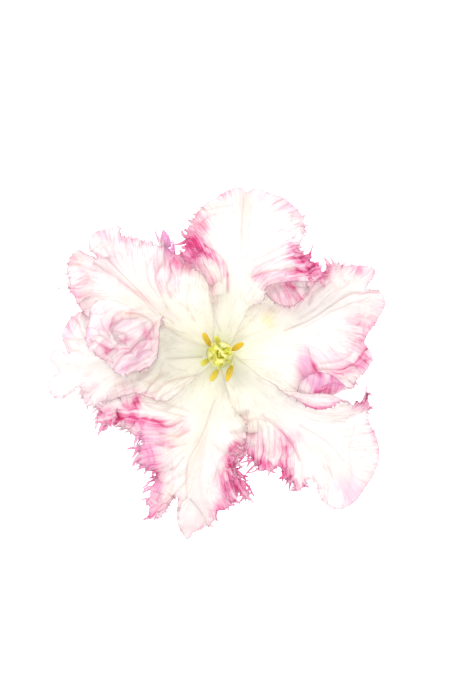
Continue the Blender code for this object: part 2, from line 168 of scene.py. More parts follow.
# Fine relief of a petal, in millimetres: narrow and wide pleats along its veins (spacing,
# height and how deep into the petal they reach), frills along its margin (spacing, height,
# lean and reach), a groove down its middle, slow waves, and the sideways shift of crushed
# places. CALM_LOSS is how much of the frills and the fringe a calm takes away.
PLEATS = [(2.1, 0.36, 13.0), (6.3, 0.9, 9.0)]
FRILLS = [(11.0, 2.3, 1.9, 6.0), (4.7, 1.3, 0.9, 3.2)]
FRILL_ROUNDS = 5
FRILL_FADE = (16, 20)
CALM_LOSS = 0.9
RELIEF_FADE = (12, 22)
MIDDLE_FADE = (1.5, 7)
GROOVE_WIDTH = 1.1
GROOVE_HEIGHT = 0.35
GROOVE_START = 14
GROOVE_END = 70
GROOVE_TAPER = 24
WAVE_HEIGHT = 0.35
CRUSH_SHIFT = 0.45

# The petals as seen from above. A margin runs anticlockwise from the base over the tip. A lobe
# of the fringe has its root's x and y, a bearing, length, half width, bend and belly. A fold
# has a place on its line, the bearing of what turns over, half its length, the radius of its
# bend and its degrees. A lift has x, y, spread and height, and a crumple, where the sheet is
# crushed, x, y, spread and strength. A calm, where frills and fringe are small, has x, y and
# spread. A comb, which draws the veins along a bearing, has x, y, spread and that bearing.
# Strokes of pink, lilac, painted warm shade and stain run from x, y to x, y with a width and a
# strength. A crease has a width, a height and a path, and a sunk crease also gets painted
# shade. What flap_ names is placed as seen on a side that is turned over.
INNER_PETAL_NORTH = dict(
    name="inner_petal_north", whorl="inner", bearing=81,
    margin=[
        (8.4, 11.7), (12.5, 20), (17.6, 21.5), (20, 28.5), (30, 29.7), (39, 30.5), (41.8, 34),
        (37, 39), (32, 44), (34.7, 48.5), (34.7, 57), (31, 62), (27, 65), (22, 67), (17.6, 69.4),
        (14, 70), (11.3, 67.7), (8.4, 70), (3.3, 68.6), (-1.7, 65.6), (-6.7, 62), (-10, 58),
        (-12, 53.5), (-14, 47.7), (-13, 43.5), (-16, 40), (-11, 36), (-5.4, 31), (-3.8, 22.6),
        (-2.5, 13.4),
    ],
    lobes=[
        (30.1, 54.3, 11, 6.5, 0.35, 1.2, 0), (29.3, 55.2, 82, 4.9, 0.5, -0.8, 1),
        (29.3, 46.4, -11, 5.6, 0.35, 1.3, 0), (28.8, 47.7, 25, 4.5, 0.5, 0.8, 1),
        (29.7, 43.1, -1, 4.3, 0.7, -1, 3), (30.9, 41, -17, 4.1, 0.8, 1.4, 3),
        (33, 39.3, 22, 3.9, 0.9, -1.2, 3), (34.3, 37.6, -16, 4.3, 0.8, 1.6, 3),
        (35.9, 35.9, -15, 3.9, 0.9, 1, 3), (36.4, 34.3, 23, 4.7, 0.9, -1.2, 3),
        (34.7, 33, -59, 4.9, 0.7, 1, 2), (-5.9, 46, 115, 7.2, 0.5, 1, 1),
        (-6.7, 43.5, 193, 6, 0.5, -1, 1), (-6.3, 41, -184, 6, 0.7, 1, 2),
        (-5, 49.3, 169, 7.1, 0.4, -1.2, 1), (-2.9, 53.9, 123, 5.2, 0.4, 1, 0),
        (-1.7, 58.9, 179, 4.3, 0.4, -1, 0),
    ],
    lifts=[(-15, 44, 9, 7), (37, 36, 8, 5), (19, 25, 7, 4)],
    pink=[
        (-16, 37, -11, 43, 4, 1.3), (-12, 46, -8, 54, 3.6, 0.8), (-12, 45, -5, 41, 2.4, 1.3),
        (-9.6, 45.6, -3.8, 41.4, 1.4, 0.5), (-3.8, 41.4, 0.4, 37.6, 1.2, 0.6),
        (0.4, 37.6, 2.5, 33, 1.1, 0.8), (2.5, 33, 3.3, 27, 1, 0.6), (-10, 38, -3, 33, 3, 0.2),
        (-8, 36, -2, 30, 1.3, 0.4), (30, 43, 37, 37, 2.6, 1.15), (34, 37, 41, 33, 2.8, 1.2),
        (15, 32, 34, 33.5, 1.5, 0.7), (17, 66, 25, 63, 2.6, 0.18), (28, 62, 34, 54, 2.4, 0.18),
        (-4, 31, -1.5, 23, 1.6, 0.35), (27, 48, 27, 60, 4, 0.12), (19, 29, 31, 31, 1.8, 0.5),
        (1, 67, 8, 68, 2.4, 0.3), (22, 38, 31, 40, 1.2, 0.35), (14, 34.5, 22, 38, 1.2, 0.3),
    ],
    lilac=[(-15, 39, -11, 37, 3, 0.6)],
    warm_shade=[
        (-12, 54, -4, 58, 5, 0.6), (3, 30, 6, 12, 3, 0.4), (-4, 32, 0, 20, 3.5, 0.6),
        (10, 66, 10, 50, 2, 0.5), (2, 65, 22, 65, 5, 0.25),
    ],
    combs=[(-6, 40, 12, 112), (28, 36, 11, 15)],
    crumples=[(-13, 41, 7, 0.9), (35, 37, 7, 1.3)],
    calms=[(8, 68, 14), (26, 60, 8)],
    creases=[
        (0.6, -0.7, [(-3.3, 28), (-2.9, 22.2), (-2.1, 16.3), (0, 9.6)]),
        (0.8, -0.9, [(3.3, 25.5), (3.3, 31.8), (2.1, 37.6), (-0.8, 41.4), (-6.3, 45.1)]),
        (0.7, -0.7, [(0.8, 29.3), (-0.4, 35.9), (-3.8, 40.1), (-8.4, 43.5)]),
        (0.9, -0.6, [(-9.6, 58.1), (-3.8, 60.6), (5.4, 62.3)]),
        (0.7, -0.5, [(-7.5, 55.2), (-0.8, 58.5), (6.7, 59.4)]),
        (0.7, -0.5, [(10, 65.6), (9.2, 53.9), (9.2, 38.5)]),
        (0.7, -0.5, [(13.4, 61.9), (12.1, 51.8), (11.3, 38.5)]),
        (0.6, -0.4, [(23.4, 55.6), (25.5, 53.1), (26.3, 48.5)]),
        (0.8, -0.6, [(13.8, 38.9), (20.9, 41.8), (25.9, 44.7)]),
        (0.8, -0.6, [(15, 35.9), (23.4, 40.1), (29.3, 41.4)]),
        (0.8, -0.9, [(13.4, 32.2), (20.9, 34.3), (33.4, 34.7)]),
        (1.3, 1, [(14.2, 34.3), (23, 36.8), (33.4, 37.2)]),
        (0.6, -0.5, [(20.1, 47.7), (17.6, 53.9), (15.9, 61)]),
    ],
)
INNER_PETAL_WEST = dict(
    name="inner_petal_west", whorl="inner", bearing=186,
    margin=[
        (-12.5, 5), (-20, 9.5), (-24, 14), (-21.8, 20.8), (-16.8, 29.4), (-14.5, 34.6),
        (-15.4, 39.8), (-19.5, 44.9), (-24.5, 48.5), (-29, 46.8), (-38.8, 46.5), (-44, 42),
        (-48, 33), (-50, 24), (-53, 14.5), (-58.5, 17.6), (-63.5, 13.4), (-65.6, 6), (-63.5, -1),
        (-66, 1.3), (-70, 1.3), (-71.5, -2.5), (-68, -7), (-72, -11.7), (-71.5, -16.7), (-67, -18.8),
        (-62, -16), (-58, -12.5), (-58.5, -18), (-53.5, -21.3), (-48.5, -19.6), (-42, -17.6),
        (-34.3, -16), (-29.3, -17.6), (-22.6, -19.2), (-16, -15), (-9.2, -9.2),
    ],
    lobes=[
        (-56.4, -12.5, -142, 5.7, 0.6, 0.9, 1), (-53.5, -17.6, -112, 4.7, 0.6, -0.8, 1),
        (-50.2, -18.4, -131, 4.5, 0.7, 0.7, 2), (-69, 5, -169, 3, 0.4, 0.8, 1),
    ],
    folds=[((-36, 14.5), 72, 24, 4.2, 182)],
    lifts=[(-29, -18, 10, 3), (-62, 12, 8, 3)],
    pink=[
        (-26, 30, -44, 34, 8, 0.1), (-64, 8, -60, 16, 3, 0.2), (-42, -17, -34, -15, 2.5, 0.15),
        (-56, -19, -52, -14, 2.4, 0.2),
    ],
    warm_shade=[
        (-12, 2, -24, 6, 6, 0.3), (-14, -8, -26, -13, 5, 0.6), (-44, -14, -30, -8, 6, 0.35),
        (-34, 6, -52, -4, 5, 0.2),
    ],
    crumples=[(-31, 36, 13, 2.2), (-58, 14, 8, 0.9), (-40, -17, 8, 0.5)],
    calms=[(-70, -8, 12), (-16, -14, 12), (-20, 10, 10), (-24, 46, 14)],
    flap_pink=[
        (-52.7, 5.9, -46, 2.1, 2.4, 0.18), (-46, 2.5, -38.5, 0.4, 2, 0.28),
        (-42.6, 5.4, -36.4, 7.1, 1.5, 0.2), (-38.9, 1.7, -33, 4.2, 1.4, 0.3),
        (-33.4, 0.8, -28, 6.7, 1.6, 0.3), (-39.3, -5.4, -28.4, -4.2, 1.5, 0.15),
        (-31.8, 10, -28.4, 7.5, 1.6, 0.26), (-45.1, 10.9, -41, 16.3, 1.8, 0.13),
        (-50.2, 15, -48.5, 8.4, 3.4, 0.1), (-56.8, 13.4, -53.5, 7.5, 3, 0.13),
    ],
    flap_lilac=[
        (-43.1, 10.4, -34.3, 13.4, 3.2, 0.5), (-39.3, -4.2, -29.3, 2.5, 3.6, 0.75),
        (-30.9, 7.5, -26.8, 10, 2, 0.4),
    ],
    flap_warm_shade=[
        (-39.7, 17.1, -26.3, 15, 2.6, 0.9), (-25.9, 11.7, -25.1, 1.7, 1.6, 0.5),
        (-26.8, -0.8, -31.3, -7.5, 1.8, 0.4),
    ],
    flap_creases=[
        (0.8, -1.4, [(-43.9, -6.3), (-39.7, -1.7), (-33.9, 5.4), (-26.3, 11.7)]),
        (1.5, 1.6, [(-46, -4.2), (-41.4, 0.4), (-35.5, 7.1), (-29.3, 13.4)]),
        (0.7, -1.2, [(-43.5, 15.9), (-44.7, 11.7), (-43.9, 6.7), (-41.4, 3.3)]),
        (0.7, -1.1, [(-52.7, 5.9), (-47.2, 3.3), (-41.4, 1.3)]),
        (0.7, -1.2, [(-41.4, 10), (-37.6, 8.4), (-38.5, 4.6), (-41.8, 5.4)]),
        (0.8, -1.2, [(-38.9, 16.7), (-33.4, 17.1), (-29.3, 14.2), (-26.8, 9.6)]),
        (1.3, 1.3, [(-37.6, 13.4), (-33, 13.4), (-30.1, 10)]),
        (0.7, -1, [(-34.7, -0.8), (-30.1, 1.7), (-25.9, 4.2)]),
        (0.7, -1, [(-39.3, -5.4), (-33.4, -2.9), (-28, -1.3)]),
        (0.8, -1, [(-51.4, 1.3), (-46.8, -1.3), (-42.6, -3.3)]),
        (1.3, 1.2, [(-51.8, 3.8), (-46.8, 1.3), (-42.6, -0.8)]),
        (0.7, -0.9, [(-50.2, 11.7), (-48.5, 7.9), (-45.1, 4.6)]),
        (0.5, -0.9, [(-48.1, 14.2), (-46.4, 9.2), (-45.6, 6.3)]),
        (0.5, -0.9, [(-40.6, 15.5), (-42.2, 12.1), (-42.2, 9.6)]),
        (0.5, -0.8, [(-36.4, 4.6), (-33, 7.5), (-29.7, 10.9)]),
        (0.5, -0.8, [(-37.2, -2.5), (-33.4, 0.8), (-29.7, 4.6)]),
        (0.5, -0.8, [(-45.1, 2.1), (-42.2, 3.8), (-40.1, 2.9)]),
        (0.5, -0.8, [(-28.8, 10), (-27.6, 6.7), (-28, 2.5)]),
    ],
    creases=[
        (0.5, -0.9, [(-22.6, -1.7), (-16.7, -1.7), (-7.1, -1.3)]),
        (0.4, -0.5, [(-22.2, 2.1), (-18.4, 2.5)]),
        (0.4, -0.5, [(-21.3, -4.2), (-17.6, -6.3), (-14.2, -6.7)]),
        (1.3, 1.7, [(-25.5, 10), (-25.1, 1.7), (-26.3, -5), (-32.2, -10.9)]),
        (0.6, -0.7, [(-23.8, -3.3), (-25.5, -9.2), (-29.3, -14.2)]),
        (0.8, -0.8, [(-28, -16.3), (-21.3, -11.3), (-9.6, -8.8)]),
        (0.7, -0.6, [(-25.1, -18), (-18.4, -14.2), (-7.5, -7.5)]),
        (0.7, -0.4, [(-43.9, -13.4), (-33.9, -10.4), (-28, -12.1)]),
        (0.6, -0.5, [(-42.6, -9.2), (-35.5, -7.1), (-29.3, -7.5)]),
        (0.8, -0.6, [(-59.8, 17.6), (-58.1, 11.7), (-55.6, 5.9), (-54.3, 0.8)]),
        (0.6, -0.4, [(-64.4, 5.9), (-61, 1.7), (-54.3, -0.8)]),
    ],
)
INNER_PETAL_SOUTHEAST = dict(
    name="inner_petal_southeast", whorl="inner", bearing=315.5,
    margin=[
        (2.5, -13), (5.4, -21.7), (9.6, -26.3), (11.7, -32.6), (10, -38.5), (13.4, -43),
        (17.6, -47.7), (22, -48.5), (25, -46), (27, -52), (31, -54), (32.6, -58), (35, -56),
        (36, -52), (40, -53.5), (42, -60), (46.4, -64.4), (51.4, -65.6), (57, -63), (61, -57.7),
        (65, -51.4), (67.3, -44.7), (67.3, -39.3), (65, -33.4), (62, -27.6), (62, -22), (60, -17),
        (57, -19), (55, -21), (51, -13), (45, -8), (37, -7.5), (30, -10.5), (25, -13), (18, -10),
        (11, -4.5),
    ],
    lobes=[
        (58.9, -21.7, 94, 5.9, 0.8, 1.2, 2), (59.4, -20.9, 136, 5.7, 0.6, -1, 2),
        (60.2, -21.3, 110, 4.8, 0.7, -1.2, 2), (61, -22.6, 11, 3.9, 0.6, 1, 1),
        (61, -23.8, -50, 3.6, 0.4, 1, 0), (59.4, -22.6, 174, 4, 0.7, -1.5, 2),
        (23, -45.1, -131, 5.4, 0.5, 0.8, 1), (25.9, -47.7, -81, 5.1, 0.5, -0.8, 1),
        (29.3, -52.7, -123, 5.1, 0.5, 0.8, 1), (31.8, -54.3, -108, 4.4, 0.4, 1.2, 0),
        (20.1, -44.3, -155, 4.2, 0.5, 1, 1),
    ],
    folds=[((41, -19.5), 84, 20, 3, 170)],
    lifts=[(17, -45, 10, -4), (46, -60, 14, 3), (60, -20, 6, 4)],
    pink=[
        (12, -42, 22, -48, 2.2, 0.75), (25, -47, 30, -54, 2.2, 0.75), (18, -46, 16, -34, 2.6, 0.35),
        (28, -50, 25, -33, 3, 0.5), (29, -38, 31, -34, 3, 0.35), (31, -58, 34, -56, 2, 0.7),
        (30, -16, 52, -16, 3, 0.2), (34, -12, 50, -10, 3, 0.1), (57, -18, 62, -23, 2.6, 0.75),
        (11, -39, 9, -30, 2.4, 0.4), (64, -32, 68, -42, 1.6, 0.25), (56, -63, 62, -56, 2.4, 0.2),
    ],
    lilac=[(51, -56, 57, -60, 4, 0.5), (57, -54, 54, -62, 3, 0.4)],
    warm_shade=[(6, -22, 13, -30, 3.5, 0.7), (10, -12, 20, -26, 4, 0.25)],
    combs=[(22, -40, 11, 268), (42, -12, 12, 350)],
    crumples=[(20, -42, 9, 0.7), (44, -14, 9, 0.9), (60, -20, 5, 1.2)],
    calms=[(64, -45, 18), (52, -64, 12), (12, -10, 14), (38, -10, 14)],
    flap_pink=[(30, -20.9, 40.1, -23.4, 1.8, 0.7), (40.1, -23.4, 50.2, -22.6, 2, 0.9)],
    flap_creases=[
        (0.6, -0.6, [(31.8, -20.9), (38.5, -23.8), (46.8, -24.7)]),
        (0.6, -0.6, [(35.1, -20.1), (41.8, -21.7), (48.5, -22.6)]),
    ],
    creases=[
        (0.9, -1.1, [(17.6, -25.5), (23.4, -30.1), (27.6, -34.3), (30.9, -39.7), (33.4, -44.3)]),
        (1.4, 1.1, [(20.9, -25.5), (26.8, -30.9), (31.8, -36.4), (34.7, -41.8)]),
        (0.7, -0.8, [(10.4, -27.2), (15, -26.3), (19.2, -28)]),
        (0.6, -0.8, [(17.1, -29.3), (18, -40.5)]), (0.6, -0.8, [(20.1, -30.1), (20.9, -41.4)]),
        (0.6, -0.8, [(22.6, -31.8), (23.4, -43.1)]), (0.6, -0.8, [(25.1, -35.1), (25.5, -46.4)]),
        (0.6, -0.7, [(27.6, -38.5), (27.6, -49.7)]),
        (0.5, -0.8, [(45.1, -47.2), (46.4, -49.3), (47.2, -51.8)]),
        (0.9, -0.5, [(33.4, -29.7), (43.9, -35.9), (52.2, -45.1)]),
        (0.8, -0.4, [(56.4, -29.7), (54.3, -40.1), (56, -52.7)]),
    ],
)
OUTER_PETAL_NORTHWEST = dict(
    name="outer_petal_northwest", whorl="outer", bearing=142.5,
    margin=[
        (-1, 13), (1, 23), (0, 32), (-6, 38), (-14, 39.7), (-19, 41), (-21.7, 44.3), (-26.3, 44.7),
        (-34.3, 48), (-41.4, 49.3), (-42.6, 54), (-46.8, 53), (-51.4, 51.4), (-54.8, 47.7),
        (-54.3, 43.5), (-51, 40.5), (-56.4, 42), (-60, 44), (-63.5, 41), (-64.4, 36), (-63, 30),
        (-60.6, 23.4), (-57.7, 17.6), (-54.3, 10), (-51, 6), (-45, 2.5), (-35.5, 3), (-25, 1.3),
        (-12.5, -0.8),
    ],
    lobes=[
        (-20.9, 43.5, 111, 8.1, 1.3, -0.3, 3.5), (-23.8, 44.7, 118, 8.5, 0.6, -0.25, 1),
        (-19.6, 43.1, 104, 4.6, 0.7, -0.5, 2), (-66, 28.4, -177, 4, 0.4, 1, 1),
        (-66.9, 31.8, 173, 3.6, 0.4, -1, 1),
    ],
    lifts=[(-19, 42, 8, 4), (-62, 28, 8, 5), (-50, 52, 8, 4)],
    pink=[
        (-27, 50, -25, 46, 1.3, 0.9), (-23, 46, -19, 43, 2, 0.4), (-20, 38, -13, 37, 3.4, 0.45),
        (-17, 37, -19, 25, 2.2, 0.3), (-52, 50, -32, 47, 2.4, 0.25), (-61, 40, -60, 26, 3, 0.14),
        (-58, 35, -55, 25, 4, 0.14), (-59, 24, -50, 15, 3.5, 0.15), (-42, 30, -16, 14, 1.3, 0.25),
        (-47, 36, -38, 44, 6, 0.2), (-28, 41, -24, 26, 1.6, 0.3), (-50, 14, -40, 6, 4, 0.4),
    ],
    lilac=[(-23, 50, -21, 44, 2.6, 2.2), (-22, 36, -20, 30, 3, 0.3)],
    warm_shade=[
        (-61, 38, -56, 24, 4, 0.5), (-20, 19, -34, 26, 5, 0.4), (-14, 7, -24, 10, 4, 0.5),
        (-31, 20, -46, 26, 4, 0.3),
    ],
    combs=[(-60, 32, 9, 190), (-18, 34, 10, 95)],
    crumples=[(-59, 30, 9, 1.3), (-20, 36, 8, 1.1), (-48, 47, 8, 0.6)],
    calms=[(-46, 52, 8)],
    creases=[
        (1.2, 0.8, [(-53.5, 41), (-43.5, 34.3), (-34.3, 25.9), (-25.1, 15.9), (-16.7, 9.6)]),
        (0.6, -0.8, [(-53.9, 43.5), (-46, 38), (-35.5, 28), (-25.9, 17.6), (-18.8, 12.5)]),
        (0.6, -0.7, [(-52.2, 38.5), (-41, 30.1), (-32.6, 23), (-23.8, 13.4)]),
        (0.7, -0.9, [(-20.5, 23.4), (-22.2, 28), (-19.6, 34.3), (-19.2, 38)]),
        (0.7, -0.7, [(-25.1, 23), (-29.7, 30.1), (-30.5, 35.1), (-29.3, 40.1)]),
        (0.7, -0.7, [(-21.7, 18.8), (-24.7, 24.7), (-26.8, 31.8), (-25.1, 37.6)]),
        (0.6, -0.5, [(-33.4, 29.7), (-36.4, 36.8), (-36.8, 43.5)]),
        (0.6, -0.5, [(-41, 35.9), (-44.3, 42.6), (-45.1, 47.7)]),
        (0.7, -0.6, [(-13.4, 17.6), (-13.8, 22.6), (-12.5, 28.4)]),
        (0.7, -0.5, [(-10, 13.4), (-12.5, 17.6), (-16.7, 20.9)]),
        (0.7, -0.6, [(-62.7, 38.5), (-56.8, 35.9), (-51.8, 35.1)]),
        (0.7, -0.6, [(-62.7, 30.1), (-56.8, 30.9), (-51, 29.3)]),
        (0.7, -0.6, [(-60.2, 22.6), (-54.3, 25.1), (-48.5, 22.6)]),
    ],
)
OUTER_PETAL_SOUTH = dict(
    name="outer_petal_south", whorl="outer", bearing=260,
    margin=[
        (-12, -4), (-20, -8), (-29, -11), (-38, -12), (-45, -17), (-50.6, -23), (-49.7, -29),
        (-42.6, -29), (-35, -33.5), (-31, -36), (-34, -41), (-33, -45.6), (-28, -48), (-27, -52.7),
        (-29, -58), (-29.3, -67.7), (-25, -68.6), (-21.7, -63.5), (-17.6, -60), (-18, -69.4),
        (-16.7, -75), (-13.8, -79), (-11, -75.7), (-6.7, -73.6), (-2.5, -70.6), (-0.8, -66),
        (4.6, -62.7), (6.7, -57), (11.3, -60), (9.6, -53.5), (6, -47.7), (6.3, -43.5), (11, -40),
        (15, -36), (14, -26), (8, -14),
    ],
    lobes=[
        (-48.9, -23, -122, 8.1, 0.9, 0.7, 2), (-45.1, -23.4, -78, 6.4, 0.8, -0.7, 2),
        (-42.6, -23.4, -124, 5.4, 0.6, 1, 1), (-51, -22.2, -154, 4.7, 0.5, 0.9, 1),
        (3.3, -42.2, 20, 8.6, 0.5, 0.8, 1), (3.8, -44.3, 11, 8.8, 0.5, 0.7, 1),
        (3.8, -46.8, 7, 6.9, 0.5, 0.9, 1), (4.2, -49.3, -48, 13.1, 1.2, -0.4, 3),
        (3.8, -51.8, -82, 8.8, 1, 0.6, 3), (5.4, -48.5, -30, 8.3, 0.8, -0.5, 2),
        (3.3, -54.3, -97, 7.8, 0.8, 0.7, 2), (0.8, -57.7, -59, 6.8, 0.7, -0.8, 2),
        (-33, -31.8, -132, 6.5, 0.7, 0.8, 2), (-33.4, -36.8, -100, 6.9, 0.7, -0.8, 2),
        (-33, -42.2, -144, 6.2, 0.7, 0.9, 2), (-30.1, -46.8, -170, 5.4, 0.6, 1, 1),
        (-29.3, -52.7, -117, 4.5, 0.6, -1, 1), (-29.3, -57.7, -164, 5, 0.7, 0.9, 2),
        (-28.4, -62.7, -159, 5.7, 0.6, 1.8, 1), (-25.1, -66.9, -192, 4.9, 0.7, 1.5, 1),
        (-23.8, -64.4, -101, 5.3, 0.6, -1.2, 1),
    ],
    lifts=[(7, -55, 9, 5), (-33, -42, 9, 5), (-29, -64, 8, 4), (-50, -27, 8, 4)],
    pink=[
        (-34.5, -19, -37, -25, 2, 1.5), (-39, -19, -40, -23, 1.2, 0.5),
        (-38, -27, -24, -30, 2.2, 1.1), (-51, -28, -43, -28, 2, 0.8), (-49, -24, -41, -26, 2.4, 0.6),
        (-32, -35, -28, -45, 4, 0.9), (-28, -50, -28, -66, 3.4, 0.75), (6, -38, 4, -46, 1.8, 0.9),
        (4, -45, 7, -56, 2.6, 0.9), (10, -37, 9, -45, 2.6, 0.5), (4, -58, -2, -68, 3, 0.85),
        (8, -52, 11, -60, 2.6, 0.75), (-25, -30, -15, -30, 3.2, 0.45), (1, -52, 3, -62, 3, 0.5),
        (-14, -72, -8, -73, 3, 0.1), (-25, -36, -20, -38, 2, 0.4),
    ],
    lilac=[
        (-34, -30, -26, -33, 3.4, 0.8), (-31, -38, -29, -46, 3.4, 0.9), (-27, -54, -26, -60, 3, 0.6),
    ],
    warm_shade=[
        (-4, -16, -9, -38, 3, 0.8), (-20, -32, -15, -40, 5, 0.7), (-9, -42, -14, -56, 2.6, 0.6),
        (-25, -62, -21, -58, 3, 0.6),
    ],
    combs=[(-30, -27, 14, 165), (-26, -55, 10, 230), (4, -52, 12, 285)],
    crumples=[(-36, -26, 12, 1.2), (-28, -48, 11, 1.1), (5, -50, 10, 1.2), (-12, -74, 7, 0.35)],
    calms=[(-13, -76, 9)],
    creases=[
        (1.5, 0.6, [
            (-1.7, -15.9), (-5, -27.6), (-7.9, -35.9),
            (-10.4, -41), (-12.1, -48.5), (-12.5, -57.7),
        ]),
        (0.6, -0.8, [
            (-2.1, -19.2), (-5.4, -28.8), (-8.4, -35.9), (-11.3, -41),
            (-13.4, -46.4), (-14.2, -54.8), (-13.8, -59.8),
        ]),
        (0.6, -0.9, [(-14.2, -59.8), (-16.7, -64), (-18.4, -70.2), (-15.5, -76.5)]),
        (0.6, -1, [(-12.5, -60.6), (-8.4, -66.5), (-6.7, -70.6), (-8.4, -74.4), (-10.4, -75.7)]),
        (0.8, -0.9, [(-15, -43.1), (-18.4, -47.2), (-21.3, -48.1)]),
        (0.6, -0.6, [(-18.4, -58.5), (-22.2, -62.3), (-25.1, -63.5)]),
        (0.8, -0.9, [(-15, -27.6), (-22.2, -30.5), (-27.2, -27.6)]),
        (0.8, -0.8, [(-12.5, -31.8), (-18, -34.3), (-25.1, -33)]),
        (0.8, -0.7, [(-14.2, -37.6), (-20.9, -38.9), (-26.8, -37.6)]),
        (0.7, -0.7, [(-13.8, -26.3), (-20.9, -24.2), (-30.5, -20.9)]),
        (0.7, -0.6, [(-13, -23.8), (-20.1, -20.9), (-25.9, -18.4)]),
        (0.7, -0.6, [(-18.4, -51.8), (-22.6, -53.5), (-25.9, -52.7)]),
        (0.7, -0.6, [(3.3, -41), (0, -45.1), (-2.5, -52.7)]),
    ],
)
OUTER_PETAL_EAST = dict(
    name="outer_petal_east", whorl="outer", bearing=24,
    margin=[
        (7, -11), (18, -16), (27, -20), (33, -26), (39, -31), (46, -31), (51, -27), (54, -19),
        (57, -11), (63, -3.3), (62.3, 1.7), (60, 5), (62.7, 9.2), (66, 14.2), (69.4, 19.2),
        (69, 24.2), (66, 26.8), (63, 26.9), (61.2, 27.5), (62.5, 29.8), (64.8, 32.2), (66, 35),
        (63.5, 37.2), (56.8, 37.2), (51.4, 37.2), (47.2, 38), (44.3, 34.7), (39.3, 32.2), (35, 31),
        (34.5, 37), (31, 42.5), (25, 44.5), (20, 41.5), (16, 34), (15, 26), (11, 20), (6, 14),
    ],
    lobes=[(46, 37.6, 101, 4.8, 0.6, 1.2, 2), (47.7, 38.5, 146, 3.5, 0.5, -1.2, 1)],
    folds=[((44, -14.5), 285, 17, 2.8, 180), ((27.5, 28.5), 100, 14, 2.4, 180)],
    lifts=[(66, 22, 8, 3), (46, 37, 7, 4), (62, -2, 8, 6), (32, -20, 5, -2.6)],
    pink=[
        (24, 38, 33, 34, 5, 0.15), (35, 32, 43, 33, 3, 0.5), (38, 33, 50, 38, 3, 0.25),
        (36, -22, 50, -24, 5, 0.2), (39, -5, 40, -11, 1.4, 1.3), (46, -9, 60, -3, 2.2, 0.6),
        (59, -4, 61, 4, 2.4, 0.35), (56, 14, 60, 3, 4, 0.25), (62, 8, 67, 18, 4, 0.22),
        (56, 36, 66, 33, 2.6, 0.4), (36, -4, 38, -12, 4, 0.6), (46, 0, 56, 2, 3, 0.15),
        (28, 22, 34, 25, 4, 0.4),
    ],
    lilac=[(35, 1, 36, -12, 3.4, 1), (40, 0, 50, -4, 3, 0.4)],
    warm_shade=[(14, 8, 24, 12, 6, 0.3), (30, 14, 56, 30, 3, 0.2)],
    stain=[(19.5, 13.5, 21, 13, 2.2, 1), (18.5, 16, 22, 17, 1.8, 0.5)],
    combs=[(52, -8, 8, 15), (37, -6, 6, 290)],
    crumples=[(46, -24, 8, 0.8), (28, 40, 7, 0.8), (62, 12, 9, 1.2), (48, 35, 9, 1)],
    calms=[(68, 20, 9), (62, 34, 8), (42, -30, 9), (26, 43, 10)],
    flap_pink=[
        (21.7, 27.6, 23.4, 20.1, 1.8, 0.35), (26.3, 27.6, 28.4, 20.1, 1.4, 0.3),
        (28, 28.8, 30.5, 27.6, 1.3, 1.3), (29.7, 24.2, 34.3, 22.6, 2.2, 0.3),
        (34.7, -7.5, 41, -15.9, 1.4, 0.5), (38.5, -5.4, 41, -8.8, 1.3, 1.5),
        (41, -15.5, 50.2, -13.4, 2.4, 1), (47.7, -9.2, 55.2, -7.5, 2.2, 0.8),
    ],
    flap_lilac=[
        (24.7, 27.6, 25.9, 19.2, 1.2, 0.5), (34.7, -5, 39.3, -12.5, 2.6, 1),
        (40.5, -11.3, 50.2, -11.7, 2.6, 1.2),
    ],
    flap_warm_shade=[(29.3, 19.2, 34.3, 20.9, 2.5, 0.6)],
    flap_creases=[
        (0.6, -0.6, [(24.7, 28), (25.1, 22.6), (26.3, 19.6)]),
        (0.6, -0.6, [(27.2, 25.9), (26.8, 21.7), (28, 19.2)]),
        (0.9, -0.9, [(20.1, 29.7), (19.2, 25.1), (20.9, 21.3)]),
        (0.6, -0.8, [(30.1, 24.2), (32.2, 21.3)]),
        (0.7, -0.9, [(42.6, -13.4), (46.8, -11.7), (50.2, -12.5)]),
        (0.6, -0.8, [(41, -15.5), (44.3, -14.2)]),
    ],
    creases=[
        (1.3, 0.8, [(29.3, 12.1), (38.5, 16.3), (47.2, 22.2), (56.4, 27.2), (65.2, 27.6)]),
        (0.6, -1, [(26.8, 9.6), (38.5, 14.6), (46.8, 20.5), (56.4, 25.5), (66.5, 25.9)]),
        (0.6, -0.7, [(35.5, 11.3), (43.5, 15.9), (48.1, 18.4), (56.4, 21.3), (61.4, 23.8)]),
        (0.6, -0.5, [(33.4, 15), (40.1, 19.2), (46, 25.1), (54.3, 29.3)]),
        (0.6, -0.6, [(37.2, 20.9), (40.1, 26.8), (46, 30.1)]),
        (1.5, 2, [(34.3, 2.9), (35.5, -3.8), (39.3, -9.6)]),
        (0.7, -0.9, [(36.8, 1.7), (38.5, -4.2), (41, -8.4)]),
        (1.5, 1.8, [(41.8, -10), (52.2, -8.8), (58.9, -4.6), (63.1, 0.8)]),
        (0.7, -1, [(41.8, -6.7), (52.2, -5.9), (58.5, -1.7), (61, 1.7)]),
        (0.7, -0.8, [(42.6, -4.2), (51, -2.5), (55.2, 0.8)]),
        (0.6, -0.6, [(57.7, 15), (63.5, 15.5)]), (0.6, -0.6, [(56.8, 11.7), (63.5, 11.7)]),
        (0.6, -0.6, [(56, 7.9), (62.7, 7.5)]), (0.6, -0.6, [(41, 8.4), (44.3, 5), (47.7, 0.8)]),
    ],
)
PETALS = [
    INNER_PETAL_NORTH, INNER_PETAL_WEST, INNER_PETAL_SOUTHEAST,
    OUTER_PETAL_NORTHWEST, OUTER_PETAL_SOUTH, OUTER_PETAL_EAST,
]

# What a petal's table may leave out.
PLAIN = {
    part: []
    for part in (
        "folds", "lifts", "lilac", "warm_shade", "stain", "combs", "crumples", "calms",
        "flap_pink", "flap_lilac", "flap_warm_shade", "flap_creases",
    )
}
